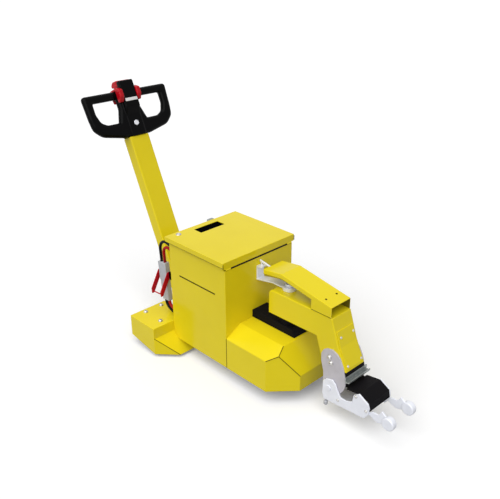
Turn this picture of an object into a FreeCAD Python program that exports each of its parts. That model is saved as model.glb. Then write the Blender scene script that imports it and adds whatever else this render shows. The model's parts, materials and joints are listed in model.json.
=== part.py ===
"""Electric tow tug: a pedestrian tractor with a swinging gooseneck and a lifting fork.

X runs forward from the tiller to the fork, Y to the machine's left, Z up from the ground.
Sizes are in millimetres. Heights are measured from the ground, and lengths from the front
face of the battery box, which stands front_x ahead of the part's own origin.
"""
import FreeCAD, Part
import math
import os
import re
import Sketcher

SIZES = {
    # The whole machine
    "front_x": 87.7,
    "ground_gap": 56.0,
    "seat_gap": 0.3,
    "run_gap": 0.05,
    # Battery box, folded from sheet
    "box_length": 325.0,
    "box_width": 360.0,
    "lid_top": 512.0,
    "box_sheet": 3.0,
    "slot_length": 211.0,
    "slot_height": 4.0,
    "slot_level": 361.0,
    "slot_front": 58.0,
    "cable_hole": 18.5,
    "upper_hole_level": 445.5,
    "lower_hole_level": 157.0,
    "cable_hole_side": 156.0,
    "pack_length": 290.0,
    "pack_width": 330.0,
    "pack_height": 380.0,
    # Lid
    "lid_sheet": 2.0,
    "lid_overhang": 10.0,
    "lid_rear": 14.0,
    "lid_skirt": 20.0,
    "lid_front_skirt": 28.0,
    "hinge_gap": 7.0,
    "hinge_radius": 3.0,
    "hinge_pin": 1.6,
    "hinge_set_back": 1.0,
    "hinge_knuckle": 300.0,
    "hinge_end_gap": 1.0,
    "hinge_length": 352.0,
    "window_length": 45.0,
    "window_width": 125.0,
    "window_rear": 27.0,
    "window_border": 8.0,
    "window_sheet": 4.0,
    "lock_radius": 11.0,
    "lock_shank": 6.5,
    "lock_height": 4.0,
    "lock_rear": 24.0,
    "lock_side": 139.0,
    "pull_length": 13.0,
    "pull_width": 30.0,
    "pull_height": 12.0,
    "pull_side": 53.0,
    # Drive cover, folded from sheet
    "cover_sheet": 3.0,
    "cover_side_top": 190.0,
    "cover_top": 231.0,
    "cover_chamfer_side": 107.0,
    "cover_side_length": 210.0,
    "cover_length": 296.0,
    "cover_nose_side": 85.0,
    "cover_nose_top": 122.0,
    "cover_slope_start": 229.0,
    # Drive unit and wheels
    "axle_x": 130.0,
    "axle_radius": 12.5,
    "axle_length": 212.0,
    "tyre_radius": 90.0,
    "tyre_width": 50.0,
    "tyre_side": 78.0,
    "rim_radius": 62.0,
    "hub_radius": 28.0,
    "hub_width": 54.0,
    "web_thickness": 12.0,
    "unit_length": 150.0,
    "unit_width": 84.0,
    "unit_height": 150.0,
    "unit_level": 50.0,
    "mount_plate": 8.0,
    "mount_plate_width": 240.0,
    "mount_plate_length": 215.0,
    # Pivot of the gooseneck
    "block_length": 222.0,
    "block_width": 82.0,
    "block_height": 32.0,
    "pivot_x": 155.0,
    "post_radius": 20.0,
    "post_shoulder": 34.0,
    "post_reach": 30.0,
    "thrust_gap": 0.5,
    "bolt_radius": 10.0,
    "boss_radius": 26.0,
    # Upper bracket
    "bracket_plate": 5.0,
    "bracket_width": 38.0,
    "bracket_low": 391.0,
    "bracket_rise": 16.0,
    "bracket_bend": 85.0,
    "bracket_top": 446.0,
    "bracket_lip": 24.0,
    "pin_set": 3.0,
    "pin_width": 7.0,
    "pin_rise": 14.0,
    "pin_droop": 10.0,
    "pin_rear": 3.0,
    "pin_tip": 55.0,
    # Gooseneck, a box section of plate
    "neck_rear": 99.0,
    "neck_low": 298.0,
    "neck_top": 396.0,
    "neck_width": 104.0,
    "neck_plate": 4.0,
    "neck_bend_x": 400.0,
    "neck_knee_x": 435.0,
    "neck_knee_z": 292.0,
    "neck_toe_x": 475.0,
    "neck_toe_z": 209.0,
    "neck_heel_x": 366.0,
    "neck_heel_z": 207.0,
    "neck_crotch_x": 334.0,
    "neck_crotch_z": 301.0,
    "neck_round": 16.0,
    "end_block_rear": 14.0,
    "end_block_front": 16.0,
    "channel_overhang": 8.0,
    # Hood over the gooseneck
    "hood_sheet": 2.5,
    "hood_rear": 70.0,
    "hood_rear_z": 467.0,
    "hood_fold": 160.0,
    "hood_fold_z": 479.0,
    "hood_front": 396.0,
    "hood_front_z": 437.0,
    "hood_foot": 305.0,
    "hood_skirt": 18.0,
    "hood_hole": 3.5,
    "hood_hole_side": 28.5,
    "hood_hole_x": 352.0,
    # Cover plate on the gooseneck's front
    "front_plate": 3.0,
    "front_plate_width": 88.0,
    "front_plate_high": 348.0,
    "front_plate_low": 218.0,
    # Side plates of the coupling
    "cheek_plate": 5.0,
    "cheek_gap": 1.0,
    "fork_plate": 6.0,
    "fork_pivot_x": 411.0,
    "fork_pivot_z": 122.0,
    "fork_pin": 8.0,
    "fork_pin_head": 3.5,
    "fork_low": 66.0,
    "buffer_x": 400.0,
    "buffer_z": 51.0,
    "buffer_radius": 8.0,
    "buffer_stud": 3.0,
    "tie_rear": 430.0,
    "tie_front": 545.0,
    "tie_low": 84.0,
    "tie_plate": 6.0,
    "cradle_side_gap": 6.0,
    "cradle_rear": 460.0,
    "cradle_notch": 486.0,
    "cradle_low": 140.0,
    "cradle_high": 170.0,
    "pad_x": 668.0,
    "pad_z": 110.0,
    "pad_radius": 24.0,
    "pad_lip": 6.0,
    # Rear guards over the castors
    "guard_back": 159.0,
    "guard_outer": 285.0,
    "guard_inner": 106.0,
    "guard_top": 133.0,
    "guard_sheet": 4.0,
    "guard_floor_gap": 13.0,
    "guard_rear_gap": 40.0,
    "ramp_top": 86.0,
    "ramp_reach": 77.0,
    "ramp_corner": 214.0,
    # Castors
    "castor_back": 84.0,
    "castor_side": 182.0,
    "castor_plate_length": 126.0,
    "castor_plate_width": 104.0,
    "castor_trail": 24.0,
    "castor_wheel_radius": 38.0,
    "castor_wheel_width": 26.0,
    "castor_plate": 4.0,
    "castor_race": 9.0,
    "castor_race_radius": 24.0,
    "castor_crown": 9.5,
    "king_pin": 8.0,
    "castor_fork_sheet": 4.0,
    "castor_axle": 5.0,
    # Tiller
    "tiller_back": 130.0,
    "tiller_z": 115.0,
    "tiller_lean": 24.05,
    "arm_length": 743.5,
    "arm_width": 96.0,
    "arm_depth": 54.0,
    "arm_wall": 4.0,
    "arm_cap": 8.0,
    "tiller_pin": 9.0,
    "ear_plate": 8.0,
    "ear_gap": 1.0,
    "ear_rear": 28.0,
    "ear_front": 34.0,
    "ear_round": 24.0,
    "pin_end": 4.0,
    "rear_plate": 8.0,
    # Tiller head
    "grip_offset": 14.0,
    "grip_radius": 17.0,
    "grip_level": 180.5,
    "head_half_width": 211.0,
    "head_foot": 66.0,
    "head_corner": 12.0,
    "loop_half_width": 166.0,
    "loop_low": 67.0,
    "web_low": 71.0,
    "web_high": 53.0,
    "web_taper": 55.0,
    "tower_half": 35.0,
    "tower_top": 235.0,
    "tower_face": 26.0,
    "tower_jut": 53.0,
    "tower_foot": 40.0,
    "tower_waist": 80.0,
    "tower_chin": 121.0,
    "tower_heel": 30.0,
    "button_face": 27.0,
    "button_low": 214.0,
    "button_proud": 6.0,
    "button_reach": 16.0,
    "button_side": 2.0,
    "paddle_width": 17.0,
    "paddle_rear": 10.0,
    "paddle_front": 28.0,
    "paddle_over": 10.0,
    "paddle_under": 16.0,
    # Battery connector
    "plug_back": 66.0,
    "plug_side": 160.0,
    "plug_middle": 290.0,
    "plug_lean": 5.0,
    "plug_width": 46.0,
    "plug_depth": 24.0,
    "plug_step": 3.0,
    "plug_upper": 82.0,
    "plug_lower": 88.0,
    "pole_offset": 11.0,
    "clip_width": 11.0,
    "clip_low": 10.0,
    "clip_high": 40.0,
    "handle_root": 28.0,
    "handle_out": 47.0,
    "handle_drop": 72.0,
    "handle_flat": 10.0,
    "handle_sheet": 3.0,
    "handle_bar": 3.0,
    "grommet_lip": 3.0,
    "grommet_flange": 3.0,
    "grommet_wall": 1.5,
    "lead_radius": 5.0,
    "lead_socket": 10.0,
    "lead_inside": 8.0,
    "lead_dip": 15.0,
    "lead_slope": 20.0,
    "black_corner_high": 191.8,
    "black_corner_low": 117.5,
    "black_bend_high": 40.0,
    "black_bend_low": 36.0,
    "red_corner_high": 164.3,
    "red_corner_low": 109.0,
    "red_bend_high": 28.0,
    "red_bend_low": 28.0,
}

doc = FreeCAD.newDocument("tow_tug")
sheet = doc.addObject("Spreadsheet::Sheet", "Sizes")
for row, (alias, value) in enumerate(SIZES.items(), start=1):
    sheet.set(f"A{row}", alias)
    sheet.set(f"B{row}", str(value))
    sheet.setAlias(f"B{row}", alias)
doc.recompute()

nodes = []


def size(name):
    """The sheet's value of a named size."""
    return float(getattr(sheet, name))


def cells(text):
    """An expression in which each size's name reads its cell."""
    return re.sub(
        r"[a-z][a-z_]*",
        lambda word: "Sizes." + word.group() if word.group() in SIZES else word.group(),
        text,
    )


def worth(text):
    """The number that an expression of named sizes gives."""
    return float(sheet.evalExpression(cells(text)))


def keep(piece, label):
    """Name a finished sub-part and add it to those that are written out."""
    piece.Label = label
    nodes.append(piece)
    return piece


def place(piece, x="0", y="0", z="0", lean=None):
    """Stand a piece at a point measured from the box's front face, leaning back by an angle."""
    if lean is not None:
        piece.Placement = FreeCAD.Placement(
            FreeCAD.Vector(), FreeCAD.Rotation(FreeCAD.Vector(0, -1, 0), worth(lean))
        )
        piece.setExpression("Placement.Rotation.Angle", cells(lean))
    piece.setExpression("Placement.Base.x", cells(f"front_x + {x}"))
    piece.setExpression("Placement.Base.y", cells(y))
    piece.setExpression("Placement.Base.z", cells(z))


def new_body(label, x="0", y="0", z="0", lean=None, several=False):
    """An empty body that stands at a point and becomes the sub-part called label."""
    body = doc.addObject("PartDesign::Body", label)
    if several:
        body.AllowCompound = True
    keep(body, label)
    place(body, x, y, z, lean)
    return body


def origin_plane(body, role):
    """The body's own origin plane with a given role."""
    for feature in body.Origin.OriginFeatures:
        if feature.Role == role:
            return feature
    raise ValueError(role)


def new_sketch(body, plane, offset="0"):
    """A sketch on one of the body's origin planes, moved along its normal."""
    sketch = body.newObject("Sketcher::SketchObject", "Sketch")
    sketch.AttachmentSupport = [(origin_plane(body, plane + "_Plane"), "")]
    sketch.MapMode = "FlatFace"
    sketch.AttachmentOffset = FreeCAD.Placement(
        FreeCAD.Vector(0, 0, worth(offset)), FreeCAD.Rotation()
    )
    sketch.setExpression("AttachmentOffset.Base.z", cells(offset))
    return sketch


def pin_point(sketch, geometry, corner, across, up):
    """Hold one point of a sketch at two named distances from its origin."""
    for kind, text in (("DistanceX", across), ("DistanceY", up)):
        index = sketch.addConstraint(
            Sketcher.Constraint(kind, -1, 1, geometry, corner, worth(text))
        )
        sketch.setExpression(f"Constraints[{index}]", cells(text))


def draw_polygon(sketch, points):
    """A closed outline of straight lines through points given as expressions."""
    spots = [FreeCAD.Vector(worth(a), worth(b), 0) for a, b in points]
    first = sketch.GeometryCount
    count = len(points)
    for i in range(count):
        sketch.addGeometry(Part.LineSegment(spots[i], spots[(i + 1) % count]), False)
    for i in range(count):
        following = first + (i + 1) % count
        sketch.addConstraint(Sketcher.Constraint("Coincident", first + i, 2, following, 1))
        pin_point(sketch, first + i, 1, *points[i])


def draw_circle(sketch, across, up, radius):
    """A circle whose centre and radius are expressions."""
    middle = FreeCAD.Vector(worth(across), worth(up), 0)
    circle = sketch.addGeometry(
        Part.Circle(middle, FreeCAD.Vector(0, 0, 1), worth(radius)), False
    )
    index = sketch.addConstraint(Sketcher.Constraint("Radius", circle, worth(radius)))
    sketch.setExpression(f"Constraints[{index}]", cells(radius))
    pin_point(sketch, circle, 3, across, up)


def box_points(low_a, low_b, high_a, high_b):
    """The four corners of an upright rectangle."""
    return [(low_a, low_b), (high_a, low_b), (high_a, high_b), (low_a, high_b)]


# The side of each plane to which a pad grows: its far limit sits at this sign of the offset.
PLANE_SIGN = {"XY": 1, "XZ": -1, "YZ": 1}


def extrude(body, plane, low, high, outlines=(), circles=(), cut=False):
    """Pad or pocket outlines between two distances along the plane's axis."""
    starts_low = (PLANE_SIGN[plane] > 0) != cut
    start = low if starts_low else high
    offset = start if PLANE_SIGN[plane] > 0 else f"-({start})"
    sketch = new_sketch(body, plane, offset)
    for points in outlines:
        draw_polygon(sketch, points)
    for circle in circles:
        draw_circle(sketch, *circle)
    kind = "PartDesign::Pocket" if cut else "PartDesign::Pad"
    feature = body.newObject(kind, "Cut" if cut else "Pad")
    feature.Profile = sketch
    feature.setExpression("Length", cells(f"({high}) - ({low})"))
    sketch.Visibility = False
    doc.recompute()
    return feature


def turn(body, profile):
    """Revolve a half section, given as distance along Y and radius, about the body's Y axis."""
    sketch = new_sketch(body, "YZ")
    draw_polygon(sketch, [(along, f"-({radius})") for along, radius in profile])
    feature = body.newObject("PartDesign::Revolution", "Turned")
    feature.Profile = sketch
    feature.ReferenceAxis = (sketch, ["H_Axis"])
    feature.Angle = 360.0
    doc.recompute()
    return feature


def round_edges(body, radius, chosen):
    """Fillet the edges of the body's tip whose middles a test picks out."""
    base = body.Tip
    names = []
    for number, edge in enumerate(base.Shape.Edges, start=1):
        middle = edge.valueAt((edge.FirstParameter + edge.LastParameter) / 2)
        if chosen(edge, middle):
            names.append(f"Edge{number}")
    fillet = body.newObject("PartDesign::Fillet", "Rounded")
    fillet.Base = (base, names)
    fillet.setExpression("Radius", cells(radius))
    doc.recompute()
    return fillet


def rod(label, radius, length, x, y, z, axis):
    """A plain round bar that starts at a point and runs along X, Y or Z."""
    bar = doc.addObject("Part::Cylinder", label)
    bar.setExpression("Radius", cells(radius))
    bar.setExpression("Height", cells(length))
    turned = {
        "X": FreeCAD.Rotation(FreeCAD.Vector(0, 1, 0), 90),
        "Y": FreeCAD.Rotation(FreeCAD.Vector(1, 0, 0), -90),
        "Z": FreeCAD.Rotation(),
    }
    bar.Placement = FreeCAD.Placement(FreeCAD.Vector(), turned[axis])
    place(bar, x, y, z)
    return keep(bar, label)


def battery_box():
    """Folded box, open on top, with its front edge cut back for the lid's hinge."""
    body = new_body("battery_box")
    half = "box_width / 2"
    rim = "lid_top - lid_sheet - seat_gap"
    extrude(body, "XY", "ground_gap", rim, [box_points("-box_length", f"-{half}", "0", half)])
    inner = f"{half} - box_sheet"
    extrude(
        body,
        "XY",
        "ground_gap + box_sheet",
        rim,
        [box_points("-(box_length - box_sheet)", f"-({inner})", "-box_sheet", inner)],
        cut=True,
    )
    hinge_line = "lid_top - lid_front_skirt - hinge_gap"
    extrude(
        body,
        "XZ",
        f"-{half}",
        half,
        [box_points("-2 * box_sheet", hinge_line, "0", rim)],
        cut=True,
    )
    slot = box_points(
        "-(slot_front + slot_length)",
        "slot_level - slot_height / 2",
        "-slot_front",
        "slot_level + slot_height / 2",
    )
    extrude(body, "XZ", f"-{half}", half, [slot], cut=True)
    holes = [
        ("-cable_hole_side", "upper_hole_level", "cable_hole"),
        ("-cable_hole_side", "lower_hole_level", "cable_hole"),
    ]
    extrude(body, "YZ", "-box_length", "-(box_length - box_sheet)", circles=holes, cut=True)


def battery_pack():
    """The traction battery, one plain block on the box's floor."""
    body = new_body("battery_pack", x="-box_length / 2", z="ground_gap + box_sheet")
    corners = box_points(
        "-pack_length / 2", "-pack_width / 2", "pack_length / 2", "pack_width / 2"
    )
    extrude(body, "XY", "0", "pack_height", [corners])


def lid():
    """Folded lid, hinged along its front edge, with a window and a hole for the lock."""
    body = new_body("lid")
    half = "(box_width / 2 + lid_overhang)"
    rear = "-(box_length + lid_rear)"
    skirt = "lid_top - lid_skirt"
    extrude(body, "XY", skirt, "lid_top", [box_points(rear, f"-{half}", "0", half)])
    front = box_points("-lid_sheet", f"-{half}", "0", half)
    extrude(body, "XY", "lid_top - lid_front_skirt", "lid_top - lid_sheet", [front])
    inner = f"{half} - lid_sheet"
    hollow = box_points(f"{rear} + lid_sheet", f"-({inner})", "-lid_sheet", inner)
    extrude(body, "XY", skirt, "lid_top - lid_sheet", [hollow], cut=True)
    window = box_points(
        "-(box_length + lid_rear - window_rear - window_length)",
        "-window_width / 2",
        "-(box_length + lid_rear - window_rear)",
        "window_width / 2",
    )
    lock = ("-(box_length + lid_rear - lock_rear)", "-lock_side", "lock_shank")
    extrude(body, "XY", "lid_top - lid_sheet", "lid_top", [window], cut=True)
    extrude(body, "XY", "lid_top - lid_sheet", "lid_top", circles=[lock], cut=True)
    centre = "lid_top - lid_front_skirt - hinge_gap / 2"
    leaf = box_points("-2 * hinge_set_back", centre, "0", "lid_top - lid_front_skirt + lid_sheet")
    near = "(hinge_knuckle / 2 + hinge_end_gap)"
    far = "(hinge_length / 2)"
    for low, high in ((f"-{far}", f"-{near}"), (near, far)):
        extrude(body, "XZ", low, high, [leaf])
        extrude(body, "XZ", low, high, circles=[("-hinge_set_back", centre, "hinge_radius")])
    bore = [("-hinge_set_back", centre, "hinge_pin + run_gap")]
    extrude(body, "XZ", f"-{far}", far, circles=bore, cut=True)


def lid_fittings():
    """What the lid carries: the display behind its window, the lock and the lifting pull."""
    display = new_body("display_window", x="-(box_length + lid_rear - window_rear)")
    extrude(
        display,
        "XY",
        "lid_top - lid_sheet - window_sheet",
        "lid_top - lid_sheet",
        [
            box_points(
                "-window_border",
                "-(window_width / 2 + window_border)",
                "window_length + window_border",
                "window_width / 2 + window_border",
            )
        ],
    )
    lock = new_body("lid_lock", x="-(box_length + lid_rear - lock_rear)", y="-lock_side")
    extrude(lock, "XY", "lid_top", "lid_top + lock_height", circles=[("0", "0", "lock_radius")])
    extrude(
        lock,
        "XY",
        "lid_top - lid_skirt",
        "lid_top",
        circles=[("0", "0", "lock_shank")],
    )
    pull = new_body("lid_pull", x="-(box_length + lid_rear)", y="pull_side")
    extrude(
        pull,
        "XY",
        "lid_top - pull_height",
        "lid_top + lid_sheet",
        [box_points("-pull_length", "-pull_width / 2", "0", "pull_width / 2")],
    )
    round_edges(
        pull,
        "pull_length / 3",
        lambda edge, middle: abs(edge.tangentAt(0).z) > 0.9 and middle.x < -1,
    )


def hinge():
    """The box's half of the lid hinge: a leaf on the front wall, its knuckle and the long pin."""
    body = new_body("lid_hinge", x="-hinge_set_back")
    half = "hinge_knuckle / 2"
    wall = "lid_top - lid_front_skirt - hinge_gap"
    centre = f"{wall} + hinge_gap / 2"
    leaf = box_points("-hinge_set_back", wall, "hinge_set_back", centre)
    extrude(body, "XZ", f"-{half}", half, [leaf])
    extrude(body, "XZ", f"-{half}", half, circles=[("0", centre, "hinge_radius")])
    reach = "hinge_length / 2"
    extrude(body, "XZ", f"-{reach}", reach, circles=[("0", centre, "hinge_pin")])


def drive_cover_form(name, inset):
    """The drive cover's faceted form, drawn in from its outside by inset."""
    body = doc.addObject("PartDesign::Body", name)
    body.setExpression("Placement.Base.x", cells("front_x"))
    half = f"box_width / 2 - {inset}"
    nose = f"cover_nose_side - 0.5 * {inset}"
    front = f"cover_length - {inset}"
    top = f"cover_top - {inset}"
    side_end = f"cover_side_length - 0.4 * {inset}"
    plan = [
        ("0", f"-({half})"),
        (side_end, f"-({half})"),
        (front, f"-({nose})"),
        (front, nose),
        (side_end, half),
        ("0", half),
    ]
    low = "ground_gap" if inset == "0" else "ground_gap - 1"
    extrude(body, "XY", low, top, [plan])
    side_top = f"cover_side_top - 0.4 * {inset}"
    shoulder = f"cover_chamfer_side - 0.4 * {inset}"
    for side in ("", "-"):
        corner = [
            (f"{side}({half})", side_top),
            (f"{side}({half})", top),
            (f"{side}({shoulder})", top),
        ]
        extrude(body, "YZ", "0", front, [corner], cut=True)
    nose_top = f"cover_nose_top - 0.4 * {inset}"
    slope = [
        (f"cover_slope_start - 0.4 * {inset}", top),
        (front, nose_top),
        (front, top),
    ]
    extrude(body, "XZ", f"-({half})", half, [slope], cut=True)
    return body


def drive_cover():
    """Sheet cover over the drive wheels: its faceted form less the same form drawn in."""
    cut = doc.addObject("Part::Cut", "drive_cover")
    cut.Base = drive_cover_form("drive_cover_outside", "0")
    cut.Tool = drive_cover_form("drive_cover_inside", "cover_sheet")
    keep(cut, "drive_cover")


def drive_unit():
    """Motor and gearbox as one block below its mounting plate, with the axle through it."""
    plate = new_body("drive_mount")
    level = "unit_level + unit_height"
    half = "mount_plate_width / 2"
    extrude(
        plate,
        "XY",
        level,
        f"{level} + mount_plate",
        [box_points("0", f"-{half}", "mount_plate_length", half)],
    )
    post = [("pivot_x", "0", "post_radius")]
    extrude(
        plate,
        "XY",
        f"{level} + mount_plate",
        "cover_top - cover_sheet",
        circles=post,
    )
    body = new_body("drive_unit", x="axle_x")
    corners = box_points(
        "-unit_length / 2", "-unit_width / 2", "unit_length / 2", "unit_width / 2"
    )
    extrude(body, "XY", "unit_level", level, [corners])
    axle_hole = [("0", "tyre_radius", "axle_radius")]
    extrude(body, "XZ", "-unit_width / 2", "unit_width / 2", circles=axle_hole, cut=True)
    rod(
        "drive_axle",
        "axle_radius",
        "axle_length",
        "axle_x",
        "-axle_length / 2",
        "tyre_radius",
        "Y",
    )


def drive_wheels():
    """A wheel with a solid tyre on each end of the axle."""
    for label, side in (("right", "-"), ("left", "")):
        rim = new_body(f"drive_rim_{label}", "axle_x", f"{side}tyre_side", "tyre_radius")
        hub = "hub_width / 2"
        web = "web_thickness / 2"
        face = "tyre_width / 2 - 2"
        turn(
            rim,
            [
                (f"-{hub}", "axle_radius + run_gap"),
                (hub, "axle_radius + run_gap"),
                (hub, "hub_radius"),
                (web, "hub_radius + 4"),
                (web, "rim_radius - 10"),
                (face, "rim_radius - 6"),
                (face, "rim_radius"),
                (f"-({face})", "rim_radius"),
                (f"-({face})", "rim_radius - 6"),
                (f"-{web}", "rim_radius - 10"),
                (f"-{web}", "hub_radius + 4"),
                (f"-{hub}", "hub_radius"),
            ],
        )
        tyre = new_body(f"drive_tyre_{label}", "axle_x", f"{side}tyre_side", "tyre_radius")
        wide = "tyre_width / 2"
        turn(
            tyre,
            [
                (f"-{wide}", "rim_radius"),
                (wide, "rim_radius"),
                (wide, "tyre_radius - 5"),
                (f"{wide} - 5", "tyre_radius"),
                (f"-({wide} - 5)", "tyre_radius"),
                (f"-{wide}", "tyre_radius - 5"),
            ],
        )


def pivot():
    """Black block on the drive cover, the pivot post on it, and the bolt at the top."""
    block = new_body("pivot_block")
    high = "cover_top + block_height"
    half = "block_width / 2"
    side = [
        ("0", "cover_top"),
        ("block_length", "cover_top"),
        ("block_length - block_height / 2", high),
        ("0", high),
    ]
    extrude(block, "XZ", f"-{half}", half, [side])
    post = new_body("swing_post", x="pivot_x")
    shoulder = "neck_low - thrust_gap"
    extrude(post, "XY", high, shoulder, circles=[("0", "0", "post_shoulder")])
    extrude(
        post,
        "XY",
        shoulder,
        "neck_low + post_reach",
        circles=[("0", "0", "post_radius")],
    )


def upper_bracket():
    """Steel bracket from the box's front face to the pivot bolt, with the swing lock's pin."""
    bracket = new_body("upper_bracket")
    half = "bracket_width / 2"
    flat = "bracket_low + bracket_rise"
    side = [
        ("0", "bracket_low - bracket_plate"),
        ("bracket_plate", "bracket_low - bracket_plate"),
        ("bracket_bend", f"{flat} - bracket_plate"),
        ("pivot_x", f"{flat} - bracket_plate"),
        ("pivot_x", flat),
        ("bracket_bend", flat),
        ("bracket_plate", "bracket_low"),
        ("bracket_plate", "bracket_top - bracket_plate"),
        ("bracket_lip", "bracket_top - bracket_plate"),
        ("bracket_lip", "bracket_top"),
        ("0", "bracket_top"),
    ]
    extrude(bracket, "XZ", f"-{half}", half, [side])
    eye = [("pivot_x", "0", "boss_radius")]
    extrude(bracket, "XY", "neck_top + thrust_gap", f"{flat} + bracket_plate", circles=eye)
    bore = [("pivot_x", "0", "bolt_radius")]
    extrude(
        bracket,
        "XY",
        "neck_top + thrust_gap",
        f"{flat} + bracket_plate",
        circles=bore,
        cut=True,
    )
    bolt = new_body("pivot_bolt", x="pivot_x")
    head = f"{flat} + bracket_plate"
    extrude(
        bolt,
        "XY",
        "neck_top - neck_plate - bolt_radius",
        head,
        circles=[("0", "0", "bolt_radius")],
    )
    extrude(bolt, "XY", head, f"{head} + bolt_radius", circles=[("0", "0", "bolt_radius * 1.6")])
    pin = new_body("lock_pin")
    half = "pin_width / 2"
    root = "bracket_plate + pin_set"
    bar = [
        (root, "bracket_top"),
        (f"{root} + pin_width", "bracket_top"),
        (f"{root} + pin_width", "bracket_top + pin_rise - pin_droop / 4"),
        ("pin_tip", "bracket_top + pin_rise - pin_droop"),
        ("pin_tip", "bracket_top + pin_rise - pin_droop + pin_width"),
        ("pin_rear", "bracket_top + pin_rise + pin_width"),
        ("pin_rear", "bracket_top + pin_rise"),
        (root, "bracket_top + pin_rise"),
    ]
    extrude(pin, "XZ", f"-{half}", half, [bar])


def gooseneck():
    """Box section of plate that carries the coupling, bored for the post and the bolt."""
    body = new_body("gooseneck")

    def outline(inset):
        soft = f"0.3 * neck_round + 0.7 * {inset}"
        return [
            (f"neck_rear + {inset}", f"neck_low + {inset}"),
            (f"neck_crotch_x + {inset}", f"neck_crotch_z + {inset}"),
            (f"neck_heel_x + {inset}", f"neck_heel_z + {inset}"),
            (f"neck_toe_x - {inset}", f"neck_toe_z + {inset}"),
            (f"neck_knee_x - {inset}", "neck_knee_z"),
            (f"neck_bend_x - {inset}", f"neck_top - {inset}"),
            ("neck_rear + neck_round", f"neck_top - {inset}"),
            (f"neck_rear + {soft}", f"neck_top - ({soft})"),
            (f"neck_rear + {inset}", "neck_top - neck_round"),
        ]

    half = "neck_width / 2"
    inner = f"{half} - neck_plate"
    extrude(body, "XZ", f"-{half}", half, [outline("0")])
    extrude(body, "XZ", f"-({inner})", inner, [outline("neck_plate")], cut=True)
    post = [("pivot_x", "0", "post_radius + run_gap")]
    extrude(body, "XY", "neck_low - 2", "neck_low + neck_plate + 2", circles=post, cut=True)
    bolt = [("pivot_x", "0", "bolt_radius + run_gap")]
    extrude(body, "XY", "neck_top - neck_plate - 2", "neck_top + 2", circles=bolt, cut=True)


def hood():
    """Folded hood over the gooseneck: shallow sides at the rear, deep sides on the arm."""
    body = new_body("hood")
    half = "neck_width / 2"
    fall = "(hood_fold_z - hood_front_z) / (hood_front - hood_fold)"
    step_z = f"hood_fold_z - (hood_foot - hood_fold) * {fall} - hood_skirt"
    side = [
        ("hood_rear", "hood_rear_z"),
        ("hood_rear", "hood_rear_z - hood_skirt"),
        ("hood_fold", "hood_fold_z - hood_skirt"),
        ("hood_foot", step_z),
        ("hood_foot", "neck_top"),
        ("hood_front", "neck_top"),
        ("hood_front", "hood_front_z"),
        ("hood_fold", "hood_fold_z"),
    ]
    extrude(body, "XZ", f"-{half}", half, [side])
    inner = f"{half} - hood_sheet"
    hollow = [
        ("hood_rear - 1", "hood_rear_z - hood_sheet"),
        ("hood_rear - 1", "neck_top - 1"),
        ("hood_front + 1", "neck_top - 1"),
        ("hood_front + 1", "hood_front_z - hood_sheet"),
        ("hood_fold", "hood_fold_z - hood_sheet"),
    ]
    extrude(body, "XZ", f"-({inner})", inner, [hollow], cut=True)
    holes = [("hood_hole_x", f"{side}hood_hole_side", "hood_hole") for side in ("", "-")]
    extrude(body, "XY", "neck_top + hood_skirt", "hood_fold_z", circles=holes, cut=True)


def neck_fittings():
    """Plate over the front of the gooseneck, and the block and channel under its end."""
    plate = new_body("front_plate")
    half = "front_plate_width / 2"
    upper = "(neck_bend_x - neck_knee_x) / (neck_top - neck_knee_z)"
    lower = "(neck_knee_x - neck_toe_x) / (neck_knee_z - neck_toe_z)"
    high_x = f"neck_knee_x + (front_plate_high - neck_knee_z) * {upper}"
    low_x = f"neck_knee_x + (front_plate_low - neck_knee_z) * {lower}"
    side = [
        (low_x, "front_plate_low"),
        (f"{low_x} + front_plate", "front_plate_low"),
        ("neck_knee_x + front_plate", "neck_knee_z"),
        (f"{high_x} + front_plate", "front_plate_high"),
        (high_x, "front_plate_high"),
        ("neck_knee_x", "neck_knee_z"),
    ]
    extrude(plate, "XZ", f"-{half}", half, [side])
    block = new_body("end_block")
    inner = "neck_width / 2 - cheek_gap"
    under = [
        ("neck_heel_x", "neck_heel_z - end_block_rear"),
        ("neck_toe_x + 2", "neck_toe_z - end_block_front"),
        ("neck_toe_x", "neck_toe_z"),
        ("neck_heel_x", "neck_heel_z"),
    ]
    extrude(block, "XZ", f"-({inner})", inner, [under])
    channel = new_body("end_channel")
    across = "neck_width / 2 + channel_overhang"
    profile = [(f"neck_toe_x + {ahead}", f"neck_toe_z - {down}") for ahead, down in CHANNEL_OUTLINE]
    extrude(channel, "XZ", f"-({across})", across, [profile])


# Outline of the channel under the gooseneck's end, ahead of the toe and below it.
CHANNEL_OUTLINE = ((2, 12), (2, 33), (22, 29), (22, 22), (19, 22), (19, 26), (6, 28), (6, 12))
# Outlines of the coupling's plates, as pairs of distance ahead of the box and height.
CHEEK_OUTLINE = (
    (390, 104),
    (411, 97),
    (440, 104),
    (462, 122),
    (473, 140),
    (478, 160),
    (475, 190),
    (464, 228),
    (449, 258),
    (436, 271),
    (414, 280),
    (390, 275),
    (374, 264),
    (365, 245),
    (366, 215),
    (377, 177),
    (379, 140),
)
ARM_OUTLINE = (
    (392, 66),
    (426, 67),
    (570, 77),
    (587, 102),
    (589, 126),
    (583, 143),
    (543, 165),
    (521, 149),
    (517, 118),
    (491, 107),
    (466, 108),
    (451, 128),
    (440, 150),
    (426, 162),
    (398, 155),
    (384, 140),
    (383, 88),
)
PRONG_OUTLINE = (
    (560, 84),
    (587, 97),
    (619, 85),
    (650, 94),
    (660, 104),
    (660, 124),
    (636, 141),
    (624, 120),
    (598, 118),
    (591, 111),
    (560, 108),
)
CRADLE_OUTLINE = (
    (466, 147),
    (544, 159),
    (579, 139),
    (585, 112),
    (590, 114),
    (584, 143),
    (544, 165),
    (466, 153),
)


def plate_points(outline):
    """A plate's outline as expressions."""
    return [(str(along), str(up)) for along, up in outline]


def both_sides(near, far):
    """The two spans along Y, right and left, between two distances from the centre line."""
    return ((f"-({far})", f"-({near})"), (near, far))


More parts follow.
